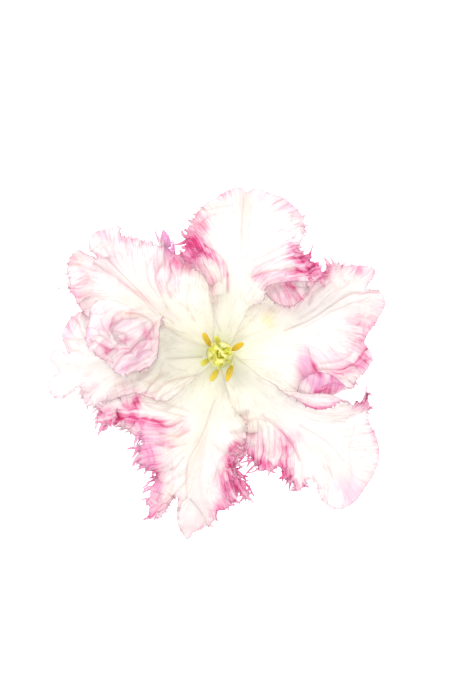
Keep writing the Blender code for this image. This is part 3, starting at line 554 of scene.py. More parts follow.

# A petal's colours: its flush from cream to magenta, its tints with a painted warm shade among
# them, the painted shade of thin lines and of the very margin, and the share of light that it
# lets through. Then the height of fine relief, in metres.
FLUSH = [
    (0.0, (0.965, 0.955, 0.925)),
    (0.10, (0.955, 0.83, 0.85)),
    (0.36, (0.93, 0.49, 0.66)),
    (0.72, (0.87, 0.20, 0.44)),
    (1.0, (0.78, 0.10, 0.31)),
]
LILAC = (0.92, 0.50, 0.78, 1)
PAINTED_WARM_SHADE = (0.95, 0.87, 0.74, 1)
THROAT = (0.965, 0.98, 0.80, 1)
HEART = (0.86, 0.89, 0.45, 1)
STAIN = (0.95, 0.78, 0.30, 1)
PAINTED_LINE_SHADE = (0.80, 0.67, 0.66, 1)
PAINTED_EDGE_SHADE = (0.64, 0.47, 0.55, 1)
LET_THROUGH = 0.27
PETAL_RELIEF = 0.00014
PLANT_RELIEF = 0.00015

# The pistil and the stalk: radii, the stigma's ridge from above, which a painted highlight makes
# pale, and sides, which list radius and height, the stigma's as shares of its own.
OVARY_RADIUS = 2.55
STIGMA_RADIUS = 5.1
STIGMA_RIDGE = [
    (-0.6, 2.5), (0.6, 1.2), (0.9, 0.1), (2.2, -0.9), (2.3, -1.9), (1.2, -2.7), (-0.6, -2.6),
]
STIGMA_SIDE = [
    (0.42, 0.0), (0.62, 0.3), (0.95, 0.55), (1.0, 0.75), (0.72, 0.95), (0.3, 1.0), (0.06, 0.98),
]
STALK_SIDE = [
    (0.4, 0.06), (1.6, 0.0), (3.1, 0.0), (3.38, 0.28), (3.4, 4.0), (3.4, 8.0),
    (3.6, 9.4), (4.3, 10.4), (4.8, 11.6), (5.0, 12.6), (4.9, 13.2), (5.5, 13.6),
    (5.75, 13.9), (5.6, 14.3), (5.1, 14.6), (4.5, 14.9), (3.4, 15.0), (1.5, 15.0),
]

# Each anther: inner end and outer end from above, the height of each, and how ripe it is.
# Then the sizes of anthers and filaments.
ANTHERS = [
    ((5.0, 1.7), (9.6, 4.6), 21.5, 26.5, 1.0),
    ((-0.8, 4.9), (-1.5, 7.2), 21.0, 28.5, 0.1),
    ((-4.0, 3.4), (-6.9, 8.8), 21.5, 26.0, 0.9),
    ((-4.9, -2.3), (-7.6, -4.2), 21.0, 28.0, 0.3),
    ((-0.9, -6.4), (-3.8, -11.0), 21.5, 26.5, 0.6),
    ((5.0, -4.6), (2.8, -11.0), 21.0, 25.0, 0.8),
]
ANTHER_RADIUS = 1.2
ANTHER_FLATNESS = 0.8
ANTHER_SPLIT = 0.34
CRUST_WAVES = 7
FILAMENT_RADIUS = 0.85
FILAMENT_FLATNESS = 0.86
FILAMENT_CIRCLE = 3.9
RECEPTACLE_TOP = 15.0
SEAM = 0.3

# An anther's dark, light and top colours, when green and when ripe.
GREEN_ANTHER = np.array([(0.40, 0.44, 0.04), (0.62, 0.64, 0.12), (0.68, 0.68, 0.16)])
RIPE_ANTHER = np.array([(0.36, 0.24, 0.015), (0.64, 0.46, 0.04), (0.74, 0.50, 0.04)])

# The photograph's frame: the real size of its height, and its middle from the axis.
VIEW_HEIGHT = 282.2 * MM
VIEW_MIDDLE = (2.1 * MM, 6.9 * MM)
VIEW_LEVEL = 12 * MM
CAMERA_HEIGHT = 0.75
SENSOR = 36.0

# The studio: light from all round, the glow of the light table, and soft lamps, each with its
# place, size and energy.
SKY_STRENGTH = 0.92
FLOOR_GLOW = 1.0
FLOOR_HALF = 4.0
FLOOR_DROP = 0.0002
LAMPS = [
    ((-0.55, 0.65, 0.9), 0.5, 4.6), ((0.8, -0.5, 0.8), 0.9, 1.5), ((0.02, 0.03, 1.3), 0.4, 2.8),
]


# Directions, paths and soft steps

def direction(turn):
    return np.array([math.cos(turn), math.sin(turn)])


def left_of(way):
    return np.array([-way[1], way[0]])


def distances(points, others):
    return np.linalg.norm(points[:, None] - others[None], axis=2)


def off_line(points, start, end):
    """How far each point lies from the straight line between two places."""
    way = np.subtract(end, start)
    share = np.clip((points - start) @ way / (way @ way), 0, 1)
    return np.linalg.norm(points - start - np.outer(share, way), axis=1)


def smooth_step(x):
    x = np.clip(x, 0, 1)
    return x * x * (3 - 2 * x)


def fade_in(distance, start, growth):
    return smooth_step((distance - start) / growth)


def soft_spot(points, place, spread):
    """1 at the place, and less the farther a point lies from it."""
    return np.exp(-(((points - place) ** 2).sum(axis=1) / spread**2))


def smooth_path(points, steps=16):
    """A Catmull-Rom curve through the points."""
    knots = np.array(points, float)
    knots = np.vstack([2 * knots[0] - knots[1], knots, 2 * knots[-1] - knots[-2]])
    share = np.linspace(0, 1, steps, endpoint=False)[:, None]
    pieces = []
    for a, b, c, d in zip(knots, knots[1:], knots[2:], knots[3:]):
        pieces.append(
            b + 0.5 * share * (c - a)
            + share**2 * (a - 2.5 * b + 2 * c - 0.5 * d)
            + share**3 * (1.5 * b - 1.5 * c + 0.5 * d - 0.5 * a)
        )
    return np.vstack([*pieces, knots[-2:-1]])


def run_along(path):
    """The path's length up to each of its points."""
    return np.concatenate([[0], np.cumsum(np.linalg.norm(np.diff(path, axis=0), axis=1))])


def evenly(path, spacing):
    """Points of the path at about this spacing, with its two ends."""
    run = run_along(path)
    count = max(round(run[-1] / spacing), 1) + 1
    wanted = np.linspace(0, run[-1], count)
    return np.column_stack([np.interp(wanted, run, path[:, k]) for k in range(2)])


def tangents_of(path):
    way = np.gradient(path, axis=0)
    return way / np.linalg.norm(way, axis=1)[:, None]


def outward_normals(path):
    way = tangents_of(path)
    return np.column_stack([way[:, 1], -way[:, 0]])


def tree_of(points):
    """Finds the nearest of the points as seen from above."""
    tree = KDTree(len(points))
    for i, place in enumerate(points):
        tree.insert((place[0], place[1], 0), i)
    tree.balance()
    return tree


def nearest(points, path):
    """For each point, its distance to the path's points, and the number of the nearest."""
    tree = tree_of(path)
    found = [tree.find((x, y, 0)) for x, y in points]
    return np.array([f[2] for f in found]), np.array([f[1] for f in found])


def edges_of(faces):
    """The three sides of each face, each from corner to corner."""
    return np.vstack([faces[:, [0, 1]], faces[:, [1, 2]], faces[:, [2, 0]]])


# The petal laid flat

def base_arc(petal, share):
    """Where the petal's base stands on the receptacle, from -1 at its clockwise end to 1."""
    half_span = WHORLS[petal["whorl"]]["half_span"]
    return PETAL_BASE_RADIUS * direction(math.radians(petal["bearing"] + share * half_span))


def smooth_margin(petal):
    return smooth_path([base_arc(petal, -1), *petal["margin"], base_arc(petal, 1)])


def fringe_length(place):
    length = FRINGE_USUAL
    for x, y, spread, long in FRINGE_SPOTS:
        length += long * math.exp(-(((place[0] - x) ** 2 + (place[1] - y) ** 2) / spread**2))
    return length * fade_in(math.hypot(*place), *FRINGE_FADE)


def toothed_outline(petal):
    """The margin's points, and for every two of them the tip of the tooth between, or None."""
    margin = evenly(smooth_margin(petal), TOOTH_WIDTH)
    normals = outward_normals(margin)
    draw = random.Random(petal["name"])
    outline = [margin[0]]
    tips = []
    for i in range(len(margin) - 1):
        middle = (margin[i] + margin[i + 1]) / 2
        length = fringe_length(middle) * draw.uniform(*TOOTH_SHARES)
        lean = draw.uniform(-TOOTH_LEAN, TOOTH_LEAN) * (margin[i + 1] - margin[i])
        others = np.vstack([np.delete(margin, [i, i + 1], axis=0), *outline[1:-2:2]])
        tips.append(None)
        while length > FRINGE_SHORTEST:
            tip = middle + length * (normals[i] + normals[i + 1]) / 2 + lean
            if distances(tip[None], others).min() > max(TOOTH_CLEAR * length, TOOTH_GAP):
                outline.append(tip)
                tips[-1] = tip
                break
            length *= TOOTH_SHRINK
        outline.append(margin[i + 1])
    return margin, tips


def side_of_tooth(start, end, toward):
    """Points from start to just before end, bowed towards a place."""
    count = max(round(np.linalg.norm(end - start) / OUTLINE_SPACING), 1)
    share = np.linspace(0, 1, count, endpoint=False)[:, None]
    return start + share * (end - start) + TOOTH_HOLLOW * share * (1 - share) * toward


def fine_outline(petal, margin, tips):
    """The toothed margin in small steps, each tooth hollowed on both of its sides."""
    draw = random.Random(petal["name"] + " teeth")
    pieces = []
    for a, b, tip in zip(margin, margin[1:], tips):
        middle = (a + b) / 2
        if tip is None:
            pieces.append(side_of_tooth(a, b, np.zeros(2)))
        else:
            tip = middle + draw.choice(TOOTH_SIZES) * (tip - middle)
            tip = tip + draw.uniform(-TOOTH_SHIFT, TOOTH_SHIFT) * (b - a)
            pieces.append(side_of_tooth(a, tip, middle - a))
            pieces.append(side_of_tooth(tip, b, middle - b))
    shares = np.linspace(1, -1, BASE_STEPS)[1:-1]
    base = np.array([base_arc(petal, share) for share in shares])
    return np.vstack([*pieces, margin[-1:], base])


def inside_of(points, outline):
    """Which points lie inside the closed outline."""
    x0, y0 = outline.T
    x1, y1 = np.roll(outline, -1, axis=0).T
    rise = np.where(y1 == y0, 1, y1 - y0)
    inside = []
    for part in np.array_split(points, 1 + len(points) // POINTS_AT_ONCE):
        x, y = part[:, :1], part[:, 1:]
        left = x < x0 + (y - y0) * (x1 - x0) / rise
        inside.append((((y0 > y) != (y1 > y)) & left).sum(axis=1) % 2 == 1)
    return np.concatenate(inside)


def honeycomb(spacing, low, high):
    """Points in staggered rows that cover a rectangle."""
    across = np.arange(low[0], high[0], spacing)
    rows = np.arange(low[1], high[1], spacing * math.sin(math.radians(60)))
    x = across[None] + 0.5 * spacing * (np.arange(len(rows)) % 2)[:, None]
    return np.column_stack([x.ravel(), np.repeat(rows, len(across))])


def flat_sheet(outline):
    """Fills the outline with small triangles."""
    grid = honeycomb(SHEET_SPACING, outline.min(axis=0), outline.max(axis=0))
    grid = grid[inside_of(grid, outline)]
    grid = grid[nearest(grid, outline)[0] > EDGE_CLEAR]
    edges = [(i, (i + 1) % len(outline)) for i in range(len(outline))]
    points = [Vector(v) for v in np.vstack([outline, grid])]
    flat, _, faces, *_ = delaunay_2d_cdt(points, edges, [], 1, MERGE_DISTANCE)
    return np.array(flat), np.array(faces)


def calmness(petal, points):
    """1 where the margin is frilled and fringed as usual, and near 0 where it is calm."""
    calm = np.ones(len(points))
    for *place, spread in petal["calms"]:
        calm *= 1 - CALM_LOSS * soft_spot(points, place, spread)
    return calm


def random_points(petal, margin):
    """Curled points along the margin: root, bearing, length, half width, bend, belly, curl."""
    draw = random.Random(petal["name"] + " fringe")
    path = evenly(margin, POINT_EVERY)
    points = []
    for place, out in zip(path, outward_normals(path)):
        usual = fringe_length(place) * calmness(petal, place[None])[0]
        length = usual * draw.choice(POINT_LENGTHS) * draw.uniform(*POINT_STRETCH)
        bearing = math.degrees(math.atan2(out[1], out[0]) + draw.gauss(0, POINT_SWAY))
        bend = draw.gauss(0, POINT_BEND)
        curl = draw.gauss(*POINT_CURL)
        belly = draw.uniform(0, POINT_BELLY)
        half_width = draw.uniform(*POINT_HALF_WIDTH) * min(1, 0.35 + 0.2 * length)
        if usual < FRINGE_USUAL or length < POINT_SHORTEST or draw.random() < POINT_MISSING:
            continue
        x, y = place - POINT_ROOT * out
        half_width /= 1 + 0.2 * belly
        points.append((x, y, bearing, length + POINT_ROOT, half_width, bend, belly, curl))
    return points


def flat_fringe(petal, margin):
    """Curled points and lobes of the fringe: flat corners, faces, roots, lifts and thickness."""
    draw = random.Random(petal["name"] + " lobes")
    set_by_hand = [(*lobe, draw.uniform(*LOBE_CURL)) for lobe in petal["lobes"]]
    flat, faces, roots, lifts, thick = [], [], [], [], []
    for x, y, bearing, length, half_width, bend, belly, curl in random_points(petal, margin) + set_by_hand:
        start = len(flat)
        heading = math.radians(bearing)
        spot = np.array([x, y])
        for k in range(POINT_STATIONS):
            share = k / (POINT_STATIONS - 1)
            way = direction(heading)
            width = half_width * ((1 - share) * (1 + belly * share) + POINT_TIP)
            side = left_of(way) * width
            flat += [spot - side, spot + side]
            roots += [(x, y)] * 2
            lifts += [curl * length * share**2] * 2
            thick += [SHEET_THICKNESS * (POINT_THICKNESS - POINT_THINNING * share)] * 2
            if k:
                a = start + 2 * k - 2
                faces += [(a, a + 2, a + 3), (a, a + 3, a + 1)]
            heading += bend / POINT_STATIONS
            spot = spot + length / (POINT_STATIONS - 1) * way
    return (np.array(part) for part in (flat, faces, roots, lifts, thick))


# The petal's form

def along_and_aside(petal, points):
    out = direction(math.radians(petal["bearing"]))
    return points @ out, points @ left_of(out)


def flat_to_form(petal, points, margin):
    """Raises flat points to the petal's form, before its folds are turned."""
    lie = WHORLS[petal["whorl"]]
    bearing = math.radians(petal["bearing"])
    aside = along_and_aside(petal, points)[1]
    far = np.linalg.norm(points, axis=1) / WHORL_REACH
    within = np.minimum(far, 1)
    height = lie["base"] + lie["rise"] * np.sin(math.pi * within) - lie["fall"] * far**3
    height += lie["cup"] * (1 - np.exp(-((aside / CUP_WIDTH) ** 2))) * (1 - CUP_LOSS * within)
    for *place, spread, most in petal["lifts"]:
        height += most * soft_spot(points, place, spread)
    edge = np.exp(-distances(points, margin).min(axis=1) / RUFFLE_DEPTH)
    edge *= fade_in(far * WHORL_REACH, *RUFFLE_FADE)
    middle = RUFFLE_MIDDLE * direction(bearing)
    edge *= smooth_step(np.linalg.norm(points - middle, axis=1) / RUFFLE_CALM)
    round_middle = np.arctan2(*(points - middle).T)
    turn = RUFFLES * round_middle + 1.3 * np.sin(2 * round_middle + 5 * bearing)
    height += RUFFLE_HEIGHT * edge * (np.sin(turn) + 0.5 * np.sin(2 * turn / 3 + bearing))
    return np.column_stack([points, height])


def turn_fold(petal, points, margin, fold):
    """Turns what lies beyond the fold's line up and over, as if round a rod."""
    (x, y), bearing, half_length, radius, degrees = fold
    out = direction(math.radians(bearing))
    side = left_of(out)
    place = points[:, :2] - (x, y)
    beyond, along = place @ out, place @ side
    over = (beyond > 0) & (np.abs(along) < half_length)
    on_fold = np.array([x, y]) + np.outer(along, side)
    level = flat_to_form(petal, on_fold, margin)[:, 2]
    whole = smooth_step((half_length - np.abs(along)) / FOLD_TAPER)
    angle = np.minimum(beyond / radius, math.radians(degrees) * whole)
    tail = beyond - radius * angle
    above = 0.5 * (points[:, 2] - level)
    forward = (radius - above) * np.sin(angle) + tail * np.cos(angle)
    upward = radius - (radius - above) * np.cos(angle) + tail * np.sin(angle)
    turned = np.column_stack([on_fold + np.outer(forward, out), level + upward])
    return np.where(over[:, None], turned, points)


def strokes(points, marks):
    """The sum of soft strokes at each point."""
    total = np.zeros(len(points))
    for x0, y0, x1, y1, width, strength in marks:
        away = off_line(points, (x0, y0), (x1, y1))
        total += strength * np.exp(-((away / width) ** 2))
    return total


def crease_shares(points, creases):
    """How near each point lies to each crease, from 0 to 1."""
    shares = []
    for width, _, path in creases:
        away = np.full(len(points), 1e3)
        for start, end in zip(path, path[1:]):
            away = np.minimum(away, off_line(points, start, end))
        shares.append(np.exp(-((away / width) ** 2)))
    return np.array(shares)


def unfolded(petal, path):
    """Where places seen on a folded flap lie on the flat petal."""
    flat = []
    for place in path:
        (x, y), bearing, _, radius, degrees = min(
            petal["folds"], key=lambda fold: math.dist(fold[0], place)
        )
        out = direction(math.radians(bearing))
        inward = np.subtract(place, (x, y)) @ out
        flat.append(tuple(place + (radius * math.radians(degrees) - 2 * inward) * out))
    return flat


def all_creases(petal):
    """The creases of the petal and of its flaps, laid flat and rounded."""
    flaps = [(width, most, unfolded(petal, path)) for width, most, path in petal["flap_creases"]]
    return [(width, most, smooth_path(path, 4)) for width, most, path in petal["creases"] + flaps]


def all_strokes(petal, colour):
    """The strokes of a colour on the petal and on its flaps, laid flat."""
    flaps = [
        (*start, *end, width, strength)
        for x0, y0, x1, y1, width, strength in petal["flap_" + colour]
        for start, end in [unfolded(petal, [(x0, y0), (x1, y1)])]
    ]
    return petal[colour] + flaps


def veins(petal, points):
    """Where the vein through each point left the middle line, and the point's own place."""
    along, aside = along_and_aside(petal, points)
    away = np.sqrt(aside**2 + VEIN_NEAREST**2)
    vein = along - VEIN_BEND * np.log(away)
    for *place, spread, degrees in petal["combs"]:
        from_place = points - place
        across = left_of(direction(math.radians(degrees)))
        share = soft_spot(points, place, spread)
        here = share > COMB_CORE
        there = vein[here].mean()
        agree = np.sign(((vein[here] - there) * (from_place[here] @ across)).sum())
        vein = vein + share * (there + agree * from_place @ across - vein)
    return vein, along, aside


def crumple(petal, points):
    """Chaotic folds where the sheet is crushed: a height, a share of valley and a shift."""
    x, y = points.T
    seed = math.radians(11 * petal["bearing"])
    a = x / 1.9 + 1.6 * np.sin(y / 3.3 + seed) + 0.9 * np.sin((x + y) / 2.1 - seed)
    b = (0.5 * x + 0.87 * y) / 2.2 + 1.7 * np.sin((0.87 * x - 0.5 * y) / 3.9 - seed)
    c = (x - y) / 2.4 + 1.5 * np.sin((x + 0.7 * y) / 2.9 + seed) + 0.8 * np.sin(x / 1.7 - seed)
    rounded = np.abs(np.sin(a / 2)) + np.abs(np.sin(b / 2)) + np.abs(np.sin(c / 2))
    size = np.zeros(len(points))
    for *place, spread, most in petal["crumples"]:
        size = np.maximum(size, most * soft_spot(points, place, spread))
    shift = CRUSH_SHIFT * size[:, None] * np.column_stack([np.cos(a), np.cos(b)])
    fine = np.abs(np.sin(0.9 * a + 0.7 * c + 1.5 * np.sin(1.3 * b)))
    patchy = 0.5 + 0.5 * np.sin(0.6 * b - 0.8 * c)
    valley = 0.8 * (1 - rounded / 3) ** 2 + 0.9 * patchy * (1 - fine) ** 3
    height = 0.7 * (rounded - 1.9) + 0.6 * patchy * (fine - 0.6)
    return size * height, np.minimum(size, 1) * valley, shift


def own_turn(petal):
    """An angle that makes the waves of one petal unlike those of the others."""
    return math.radians(7 * petal["bearing"])


def frill(petal, points, depth, arc, tangent):
    """The ruffled margin: heights, and shifts along the margin that lean the folds over."""
    outward = fade_in(np.linalg.norm(points, axis=1), *FRILL_FADE)
    calm = calmness(petal, points)
    height, shift = np.zeros(len(points)), np.zeros((len(points), 2))
    for length, most, lean, reach in FRILLS:
        turn = 2 * math.pi * arc / length
        turn += 1.7 * np.sin(2 * math.pi * arc / (3.1 * length) + own_turn(petal))
        swell = 0.75 + 0.45 * np.sin(2 * math.pi * arc / (4.3 * length) - own_turn(petal))
        size = outward * calm * swell * np.exp(-((np.maximum(depth, 0) / reach) ** 1.5))
        height += most * size * np.sin(turn)
        shift += (lean * size * np.sin(2 * turn + 0.5))[:, None] * tangent
    return height, shift


def smoothed(values, faces, rounds):
    """Evens out a value at each corner with its neighbours' values."""
    ways = edges_of(faces)
    ways = np.vstack([ways, ways[:, ::-1]])
    count = np.bincount(ways[:, 0], minlength=len(values))[:, None]
    for _ in range(rounds):
        near = np.column_stack([
            np.bincount(ways[:, 0], column[ways[:, 1]], len(values)) for column in values.T
        ])
        values = 0.5 * values + 0.5 * near / np.maximum(count, 1)
    return values


def pleats(petal, points, spacing):
    """Rounded ridges along the veins with sharp valleys between: 1 on a ridge, 0 in a valley."""
    vein, along, aside = veins(petal, points)
    seed = own_turn(petal) + 2 * np.sign(aside)
    wander = 0.5 * np.sin(along / 7 + seed) + 0.35 * np.sin(vein / (1.7 * spacing) + 2 * seed)
    return np.abs(np.sin(math.pi * vein / spacing + wander))


def relief(petal, points, depth, pink):
    """Fine heights of the sheet: pleats, the middle groove, creases and slow waves."""
    along, aside = along_and_aside(petal, points)
    seed = own_turn(petal)
    outward = fade_in(np.linalg.norm(points, axis=1), *RELIEF_FADE)
    off_middle = fade_in(np.abs(aside), *MIDDLE_FADE)
    height = np.zeros(len(points))
    for spacing, most, reach in PLEATS:
        shallow = np.exp(-np.maximum(depth, 0) / reach)
        strength = outward * off_middle * shallow * (0.5 + np.minimum(pink, 1))
        height += most * strength * (pleats(petal, points, spacing) - 0.6)
    groove = smooth_step(along / GROOVE_START) * smooth_step((GROOVE_END - along) / GROOVE_TAPER)
    off_groove = aside + 1.2 * np.sin(along / 11 + seed)
    height -= GROOVE_HEIGHT * groove * np.exp(-((off_groove / GROOVE_WIDTH) ** 2))
    creases = all_creases(petal)
    height += np.array([most for _, most, _ in creases]) @ crease_shares(points, creases)
    x, y = points.T
    waves = np.sin(x / 3.7 + 1.3 * np.sin(y / 5.1 + seed))
    waves *= np.sin(y / 4.1 + 1.1 * np.sin(x / 4.7 - seed))
    return height + WAVE_HEIGHT * outward * waves


def sheet_moves(petal, flat, faces):
    """How fine relief moves each flat point, and how deep the point lies inside the margin."""
    path = evenly(smooth_margin(petal), OUTLINE_SPACING)
    depth, number = nearest(flat, path)
    tangent = tangents_of(path)[number]
    arc = number * OUTLINE_SPACING + ((flat - path[number]) * tangent).sum(axis=1)
    height, shift = frill(petal, flat, depth, arc, tangent)
    moves = smoothed(np.column_stack([shift, height]), faces, FRILL_ROUNDS)
    crushed, _, pushed = crumple(petal, flat)
    pink = strokes(flat, all_strokes(petal, "pink"))
    return moves + np.column_stack([pushed, crushed + relief(petal, flat, depth, pink)]), depth


def rest_on_surface(points, softness):
    """Flattens what would reach below the surface that the bloom lies on."""
    over = points[:, 2] - REST_HEIGHT
    points[:, 2] = REST_HEIGHT + 0.5 * (over + np.sqrt(over**2 + softness))


def bend_clear(points, covers):
    """Bends the petal down where it would touch the petals that lie over it."""
    drawn = honeycomb(COVER_SPACING, points[:, :2].min(axis=0), points[:, :2].max(axis=0))
    tree = tree_of(points)
    probes = [tree.find((x, y, 0)) for x, y in drawn]
    probes = points[sorted({f[1] for f in probes if f[2] < COVER_SPACING})]
    need = np.zeros(len(probes))
    for i, point in enumerate(probes):
        for reach in COVER_REACHES:
            for k in range(COVER_TURNS if reach else 1):
                x, y = point[:2] + reach * direction(2 * math.pi * k / COVER_TURNS)
                for cover in covers:
                    hit = cover.ray_cast(Vector((x, y, PROBE_START)), Vector((0, 0, 1)))[0]
                    if hit:
                        allowed = hit.z - LAYER_GAP + COVER_SLOPE * reach
                        need[i] = max(need[i], point[2] - allowed)
    apart = distances(probes[:, :2], probes[:, :2])
    drop = (need[None] - DROP_SLOPE * apart).max(axis=1).clip(0)
    for part in np.array_split(np.arange(len(points)), 1 + len(points) // POINTS_AT_ONCE):
        weight = np.exp(-((distances(points[part, :2], probes[:, :2]) / COVER_BLUR) ** 2))
        points[part, 2] -= weight @ drop / np.maximum(weight.sum(axis=1), 1e-9)
    rest_on_surface(points, COVERED_SOFTNESS)


# Meshes

def new_object(name, data):
    made = bpy.data.objects.new(name, data)
    bpy.context.scene.collection.objects.link(made)
    return made


def shell(points, faces, thick):
    """Gives a sheet its thickness: the corners and faces of a closed skin."""
    a, b, c = points[faces].transpose(1, 0, 2)
    lean = np.cross(b - a, c - a)
    normals = np.zeros_like(points)
    for k in range(3):
        np.add.at(normals, faces[:, k], lean)
    normals /= np.maximum(np.linalg.norm(normals, axis=1), 1e-12)[:, None]
    offset = 0.5 * thick[:, None] * normals
    count = len(points)
    ways = edges_of(faces).tolist()
    there = set(map(tuple, ways))
    start, end = np.array([way for way in ways if (way[1], way[0]) not in there]).T
    skin = np.vstack([
        faces,
        faces[:, ::-1] + count,
        np.column_stack([end, start, start + count]),
        np.column_stack([end, start + count, end + count]),
    ])
    return np.vstack([points + offset, points - offset]), skin


def new_piece(name, corners, faces, slot, surface, marks=None):
    """A smooth mesh in millimetres round the flower's axis that replaces the node."""
    mesh = bpy.data.meshes.new(name + "_fine")
    mesh.vertices.add(len(corners))
    mesh.vertices.foreach_set("co", (np.asarray(corners) * MM + np.array(AXIS)).ravel())
    mesh.loops.add(3 * len(faces))
    mesh.loops.foreach_set("vertex_index", np.asarray(faces, np.int32).ravel())
    mesh.polygons.add(len(faces))
    mesh.polygons.foreach_set("loop_start", np.arange(0, 3 * len(faces), 3, dtype=np.int32))
    mesh.update(calc_edges=True)
    for mark, values in (marks or {}).items():
        layer = mesh.attributes.new(mark, "FLOAT_VECTOR", "POINT")
        layer.data.foreach_set("vector", np.asarray(values, np.float32).ravel())
    mesh.shade_smooth()
    mesh.materials.append(surface)
    made = new_object(name + "_fine", mesh)
    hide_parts(name)
    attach(made, "root")


def petal_marks(petal, points, origins, depth, rim):
    """What the petal's colours follow: its veins, its pinks and its other zones.

    The points of the fringe take the colours of the place that they spring from.
    """
    vein, along, aside = veins(petal, points)
    seed = petal["bearing"] / 10 + 3 * np.sign(aside)
    far = np.linalg.norm(points, axis=1)
    pink, lilac, warm_shade = (
        strokes(origins, all_strokes(petal, colour)) for colour in ("pink", "lilac", "warm_shade")
    )
    inside = np.maximum(depth, 0)
    edge = fade_in(far, *EDGE_FADE) * np.exp(-((inside / EDGE_DEPTH) ** 2))
    valley = (1 - pleats(petal, points, PLEATS[0][0])) * fade_in(np.abs(aside), *MIDDLE_FADE)
    creases = all_creases(petal)
    depths = np.array([max(0, -most) for _, most, _ in creases])
    line = depths @ crease_shares(points, creases) ** 4
    shallow = np.exp(-inside / OUTER_DEPTH)
    # The fold and rim marks also place painted shade: in crushed places, in sunk creases and along the
    # very margin.
    return {
        "vein": np.column_stack([vein / VEIN_UNIT, along / 10, seed]),
        "blush": np.column_stack([pink, lilac, edge]),
        "zone": np.column_stack([far, warm_shade, strokes(points, petal["stain"])]),
        "rim": np.column_stack([rim, shallow, np.exp(-((aside / MIDDLE_WIDTH) ** 2))]),
        "fold": np.column_stack([valley, crumple(petal, points)[1], line]),
    }


def make_petal(petal, covers, surface):
    """Makes the fine petal, and returns its sheet without the fringe, as a cover of others."""
    margin, tips = toothed_outline(petal)
    outline = fine_outline(petal, margin, tips)
    sheet, sheet_faces = flat_sheet(outline)
    fringe, fringe_faces, roots, lifts, fringe_thick = flat_fringe(petal, margin)
    moves, depth = sheet_moves(petal, sheet, sheet_faces)

    root = nearest(roots, sheet)[1]
    raised = np.column_stack([np.zeros((len(fringe), 2)), lifts])
    moves = np.vstack([moves, moves[root] + raised])
    depth = np.concatenate([depth, np.zeros(len(fringe))])
    rim = np.concatenate([nearest(sheet, outline)[0], np.full(len(fringe), FRINGE_RIM)])
    thick = np.concatenate([np.full(len(sheet), SHEET_THICKNESS), fringe_thick])
    faces = np.vstack([sheet_faces, fringe_faces + len(sheet)])
    flat = np.vstack([sheet, fringe])
    points = flat_to_form(petal, flat, margin) + moves
    for fold in petal["folds"]:
        points = turn_fold(petal, points, margin, fold)
    rest_on_surface(points, REST_SOFTNESS)
    if petal["whorl"] == "outer":
        bend_clear(points, covers)
    corners, skin = shell(points, faces, thick)
    marks = petal_marks(petal, flat, np.vstack([sheet, roots]), depth, rim)
    marks = {mark: np.vstack([values, values]) for mark, values in marks.items()}
    new_piece(petal["name"], corners, skin, "petal", surface, marks)
    return BVHTree.FromPolygons([Vector(v) for v in points[:len(sheet)]], sheet_faces.tolist())


# Materials

class Surface:
    """A material's node tree, with short calls that add nodes."""

    def __init__(self, name):
        self.material = bpy.data.materials.new(name)
        self.material.use_nodes = True
        self.tree = self.material.node_tree
        self.tree.nodes.clear()

    def add(self, kind, inputs=(), **settings):
        node = self.tree.nodes.new("ShaderNode" + kind)
        for key, value in settings.items():
            setattr(node, key, value)
        for key, value in dict(inputs).items():
            if isinstance(value, bpy.types.NodeSocket):
                self.tree.links.new(value, node.inputs[key])
            else:
                node.inputs[key].default_value = value
        return node

    def mark(self, name):
        """The three numbers of a mesh attribute."""
        read = self.add("Attribute", attribute_name=name)
        return self.add("SeparateXYZ", {0: read.outputs["Vector"]}).outputs

    def math(self, operation, a, b=0.0, clamp=False):
        return self.add("Math", {0: a, 1: b}, operation=operation, use_clamp=clamp).outputs[0]

    def plus(self, a, b, clamp=False):
        return self.math("ADD", a, b, clamp)

    def times(self, a, b, clamp=False):
        return self.math("MULTIPLY", a, b, clamp)

    def sum_of(self, *parts):
        """The sum of values, each given with its weight."""
        total = None
        for value, weight in parts:
            part = self.times(value, weight)
            total = part if total is None else self.plus(total, part)
        return total

    def spread(self, value, low, high, to_low=0.0, to_high=1.0):
        """The value's share of the way from low to high, eased and kept between."""
        inputs = {0: value, 1: low, 2: high, 3: to_low, 4: to_high}
        return self.add("MapRange", inputs, interpolation_type="SMOOTHSTEP").outputs[0]

    def scaled(self, value, share, at_none, at_full, clamp=False):
        """The value times a factor that follows a share of 0 to 1."""
        return self.times(value, self.spread(share, 0, 1, at_none, at_full), clamp)

    def noise(self, vector, scale, detail, roughness=0.55):
        inputs = {"Vector": vector, "Scale": scale, "Detail": detail, "Roughness": roughness}
        return self.add("TexNoise", inputs).outputs["Fac"]

    def stretched(self, vector, factors):
        inputs = {0: vector, 1: factors}
        return self.add("VectorMath", inputs, operation="MULTIPLY").outputs[0]

    def mix(self, share, low, high, blend="MIX"):
        inputs = {0: share, 6: low, 7: high}
        return self.add("Mix", inputs, data_type="RGBA", blend_type=blend).outputs[2]

    def ramp(self, value, stops):
        node = self.add("ValToRGB", {0: value})
        while len(node.color_ramp.elements) < len(stops):
            node.color_ramp.elements.new(1)
        for element, (place, colour) in zip(node.color_ramp.elements, stops):
            element.position = place
            element.color = (*colour, 1)
        return node.outputs[0]

    def bump(self, height, strength, distance):
        inputs = {"Height": height, "Strength": strength, "Distance": distance}
        return self.add("Bump", inputs).outputs[0]

    def finish(self, shader):
        self.add("OutputMaterial", {"Surface": shader})
        return self.material


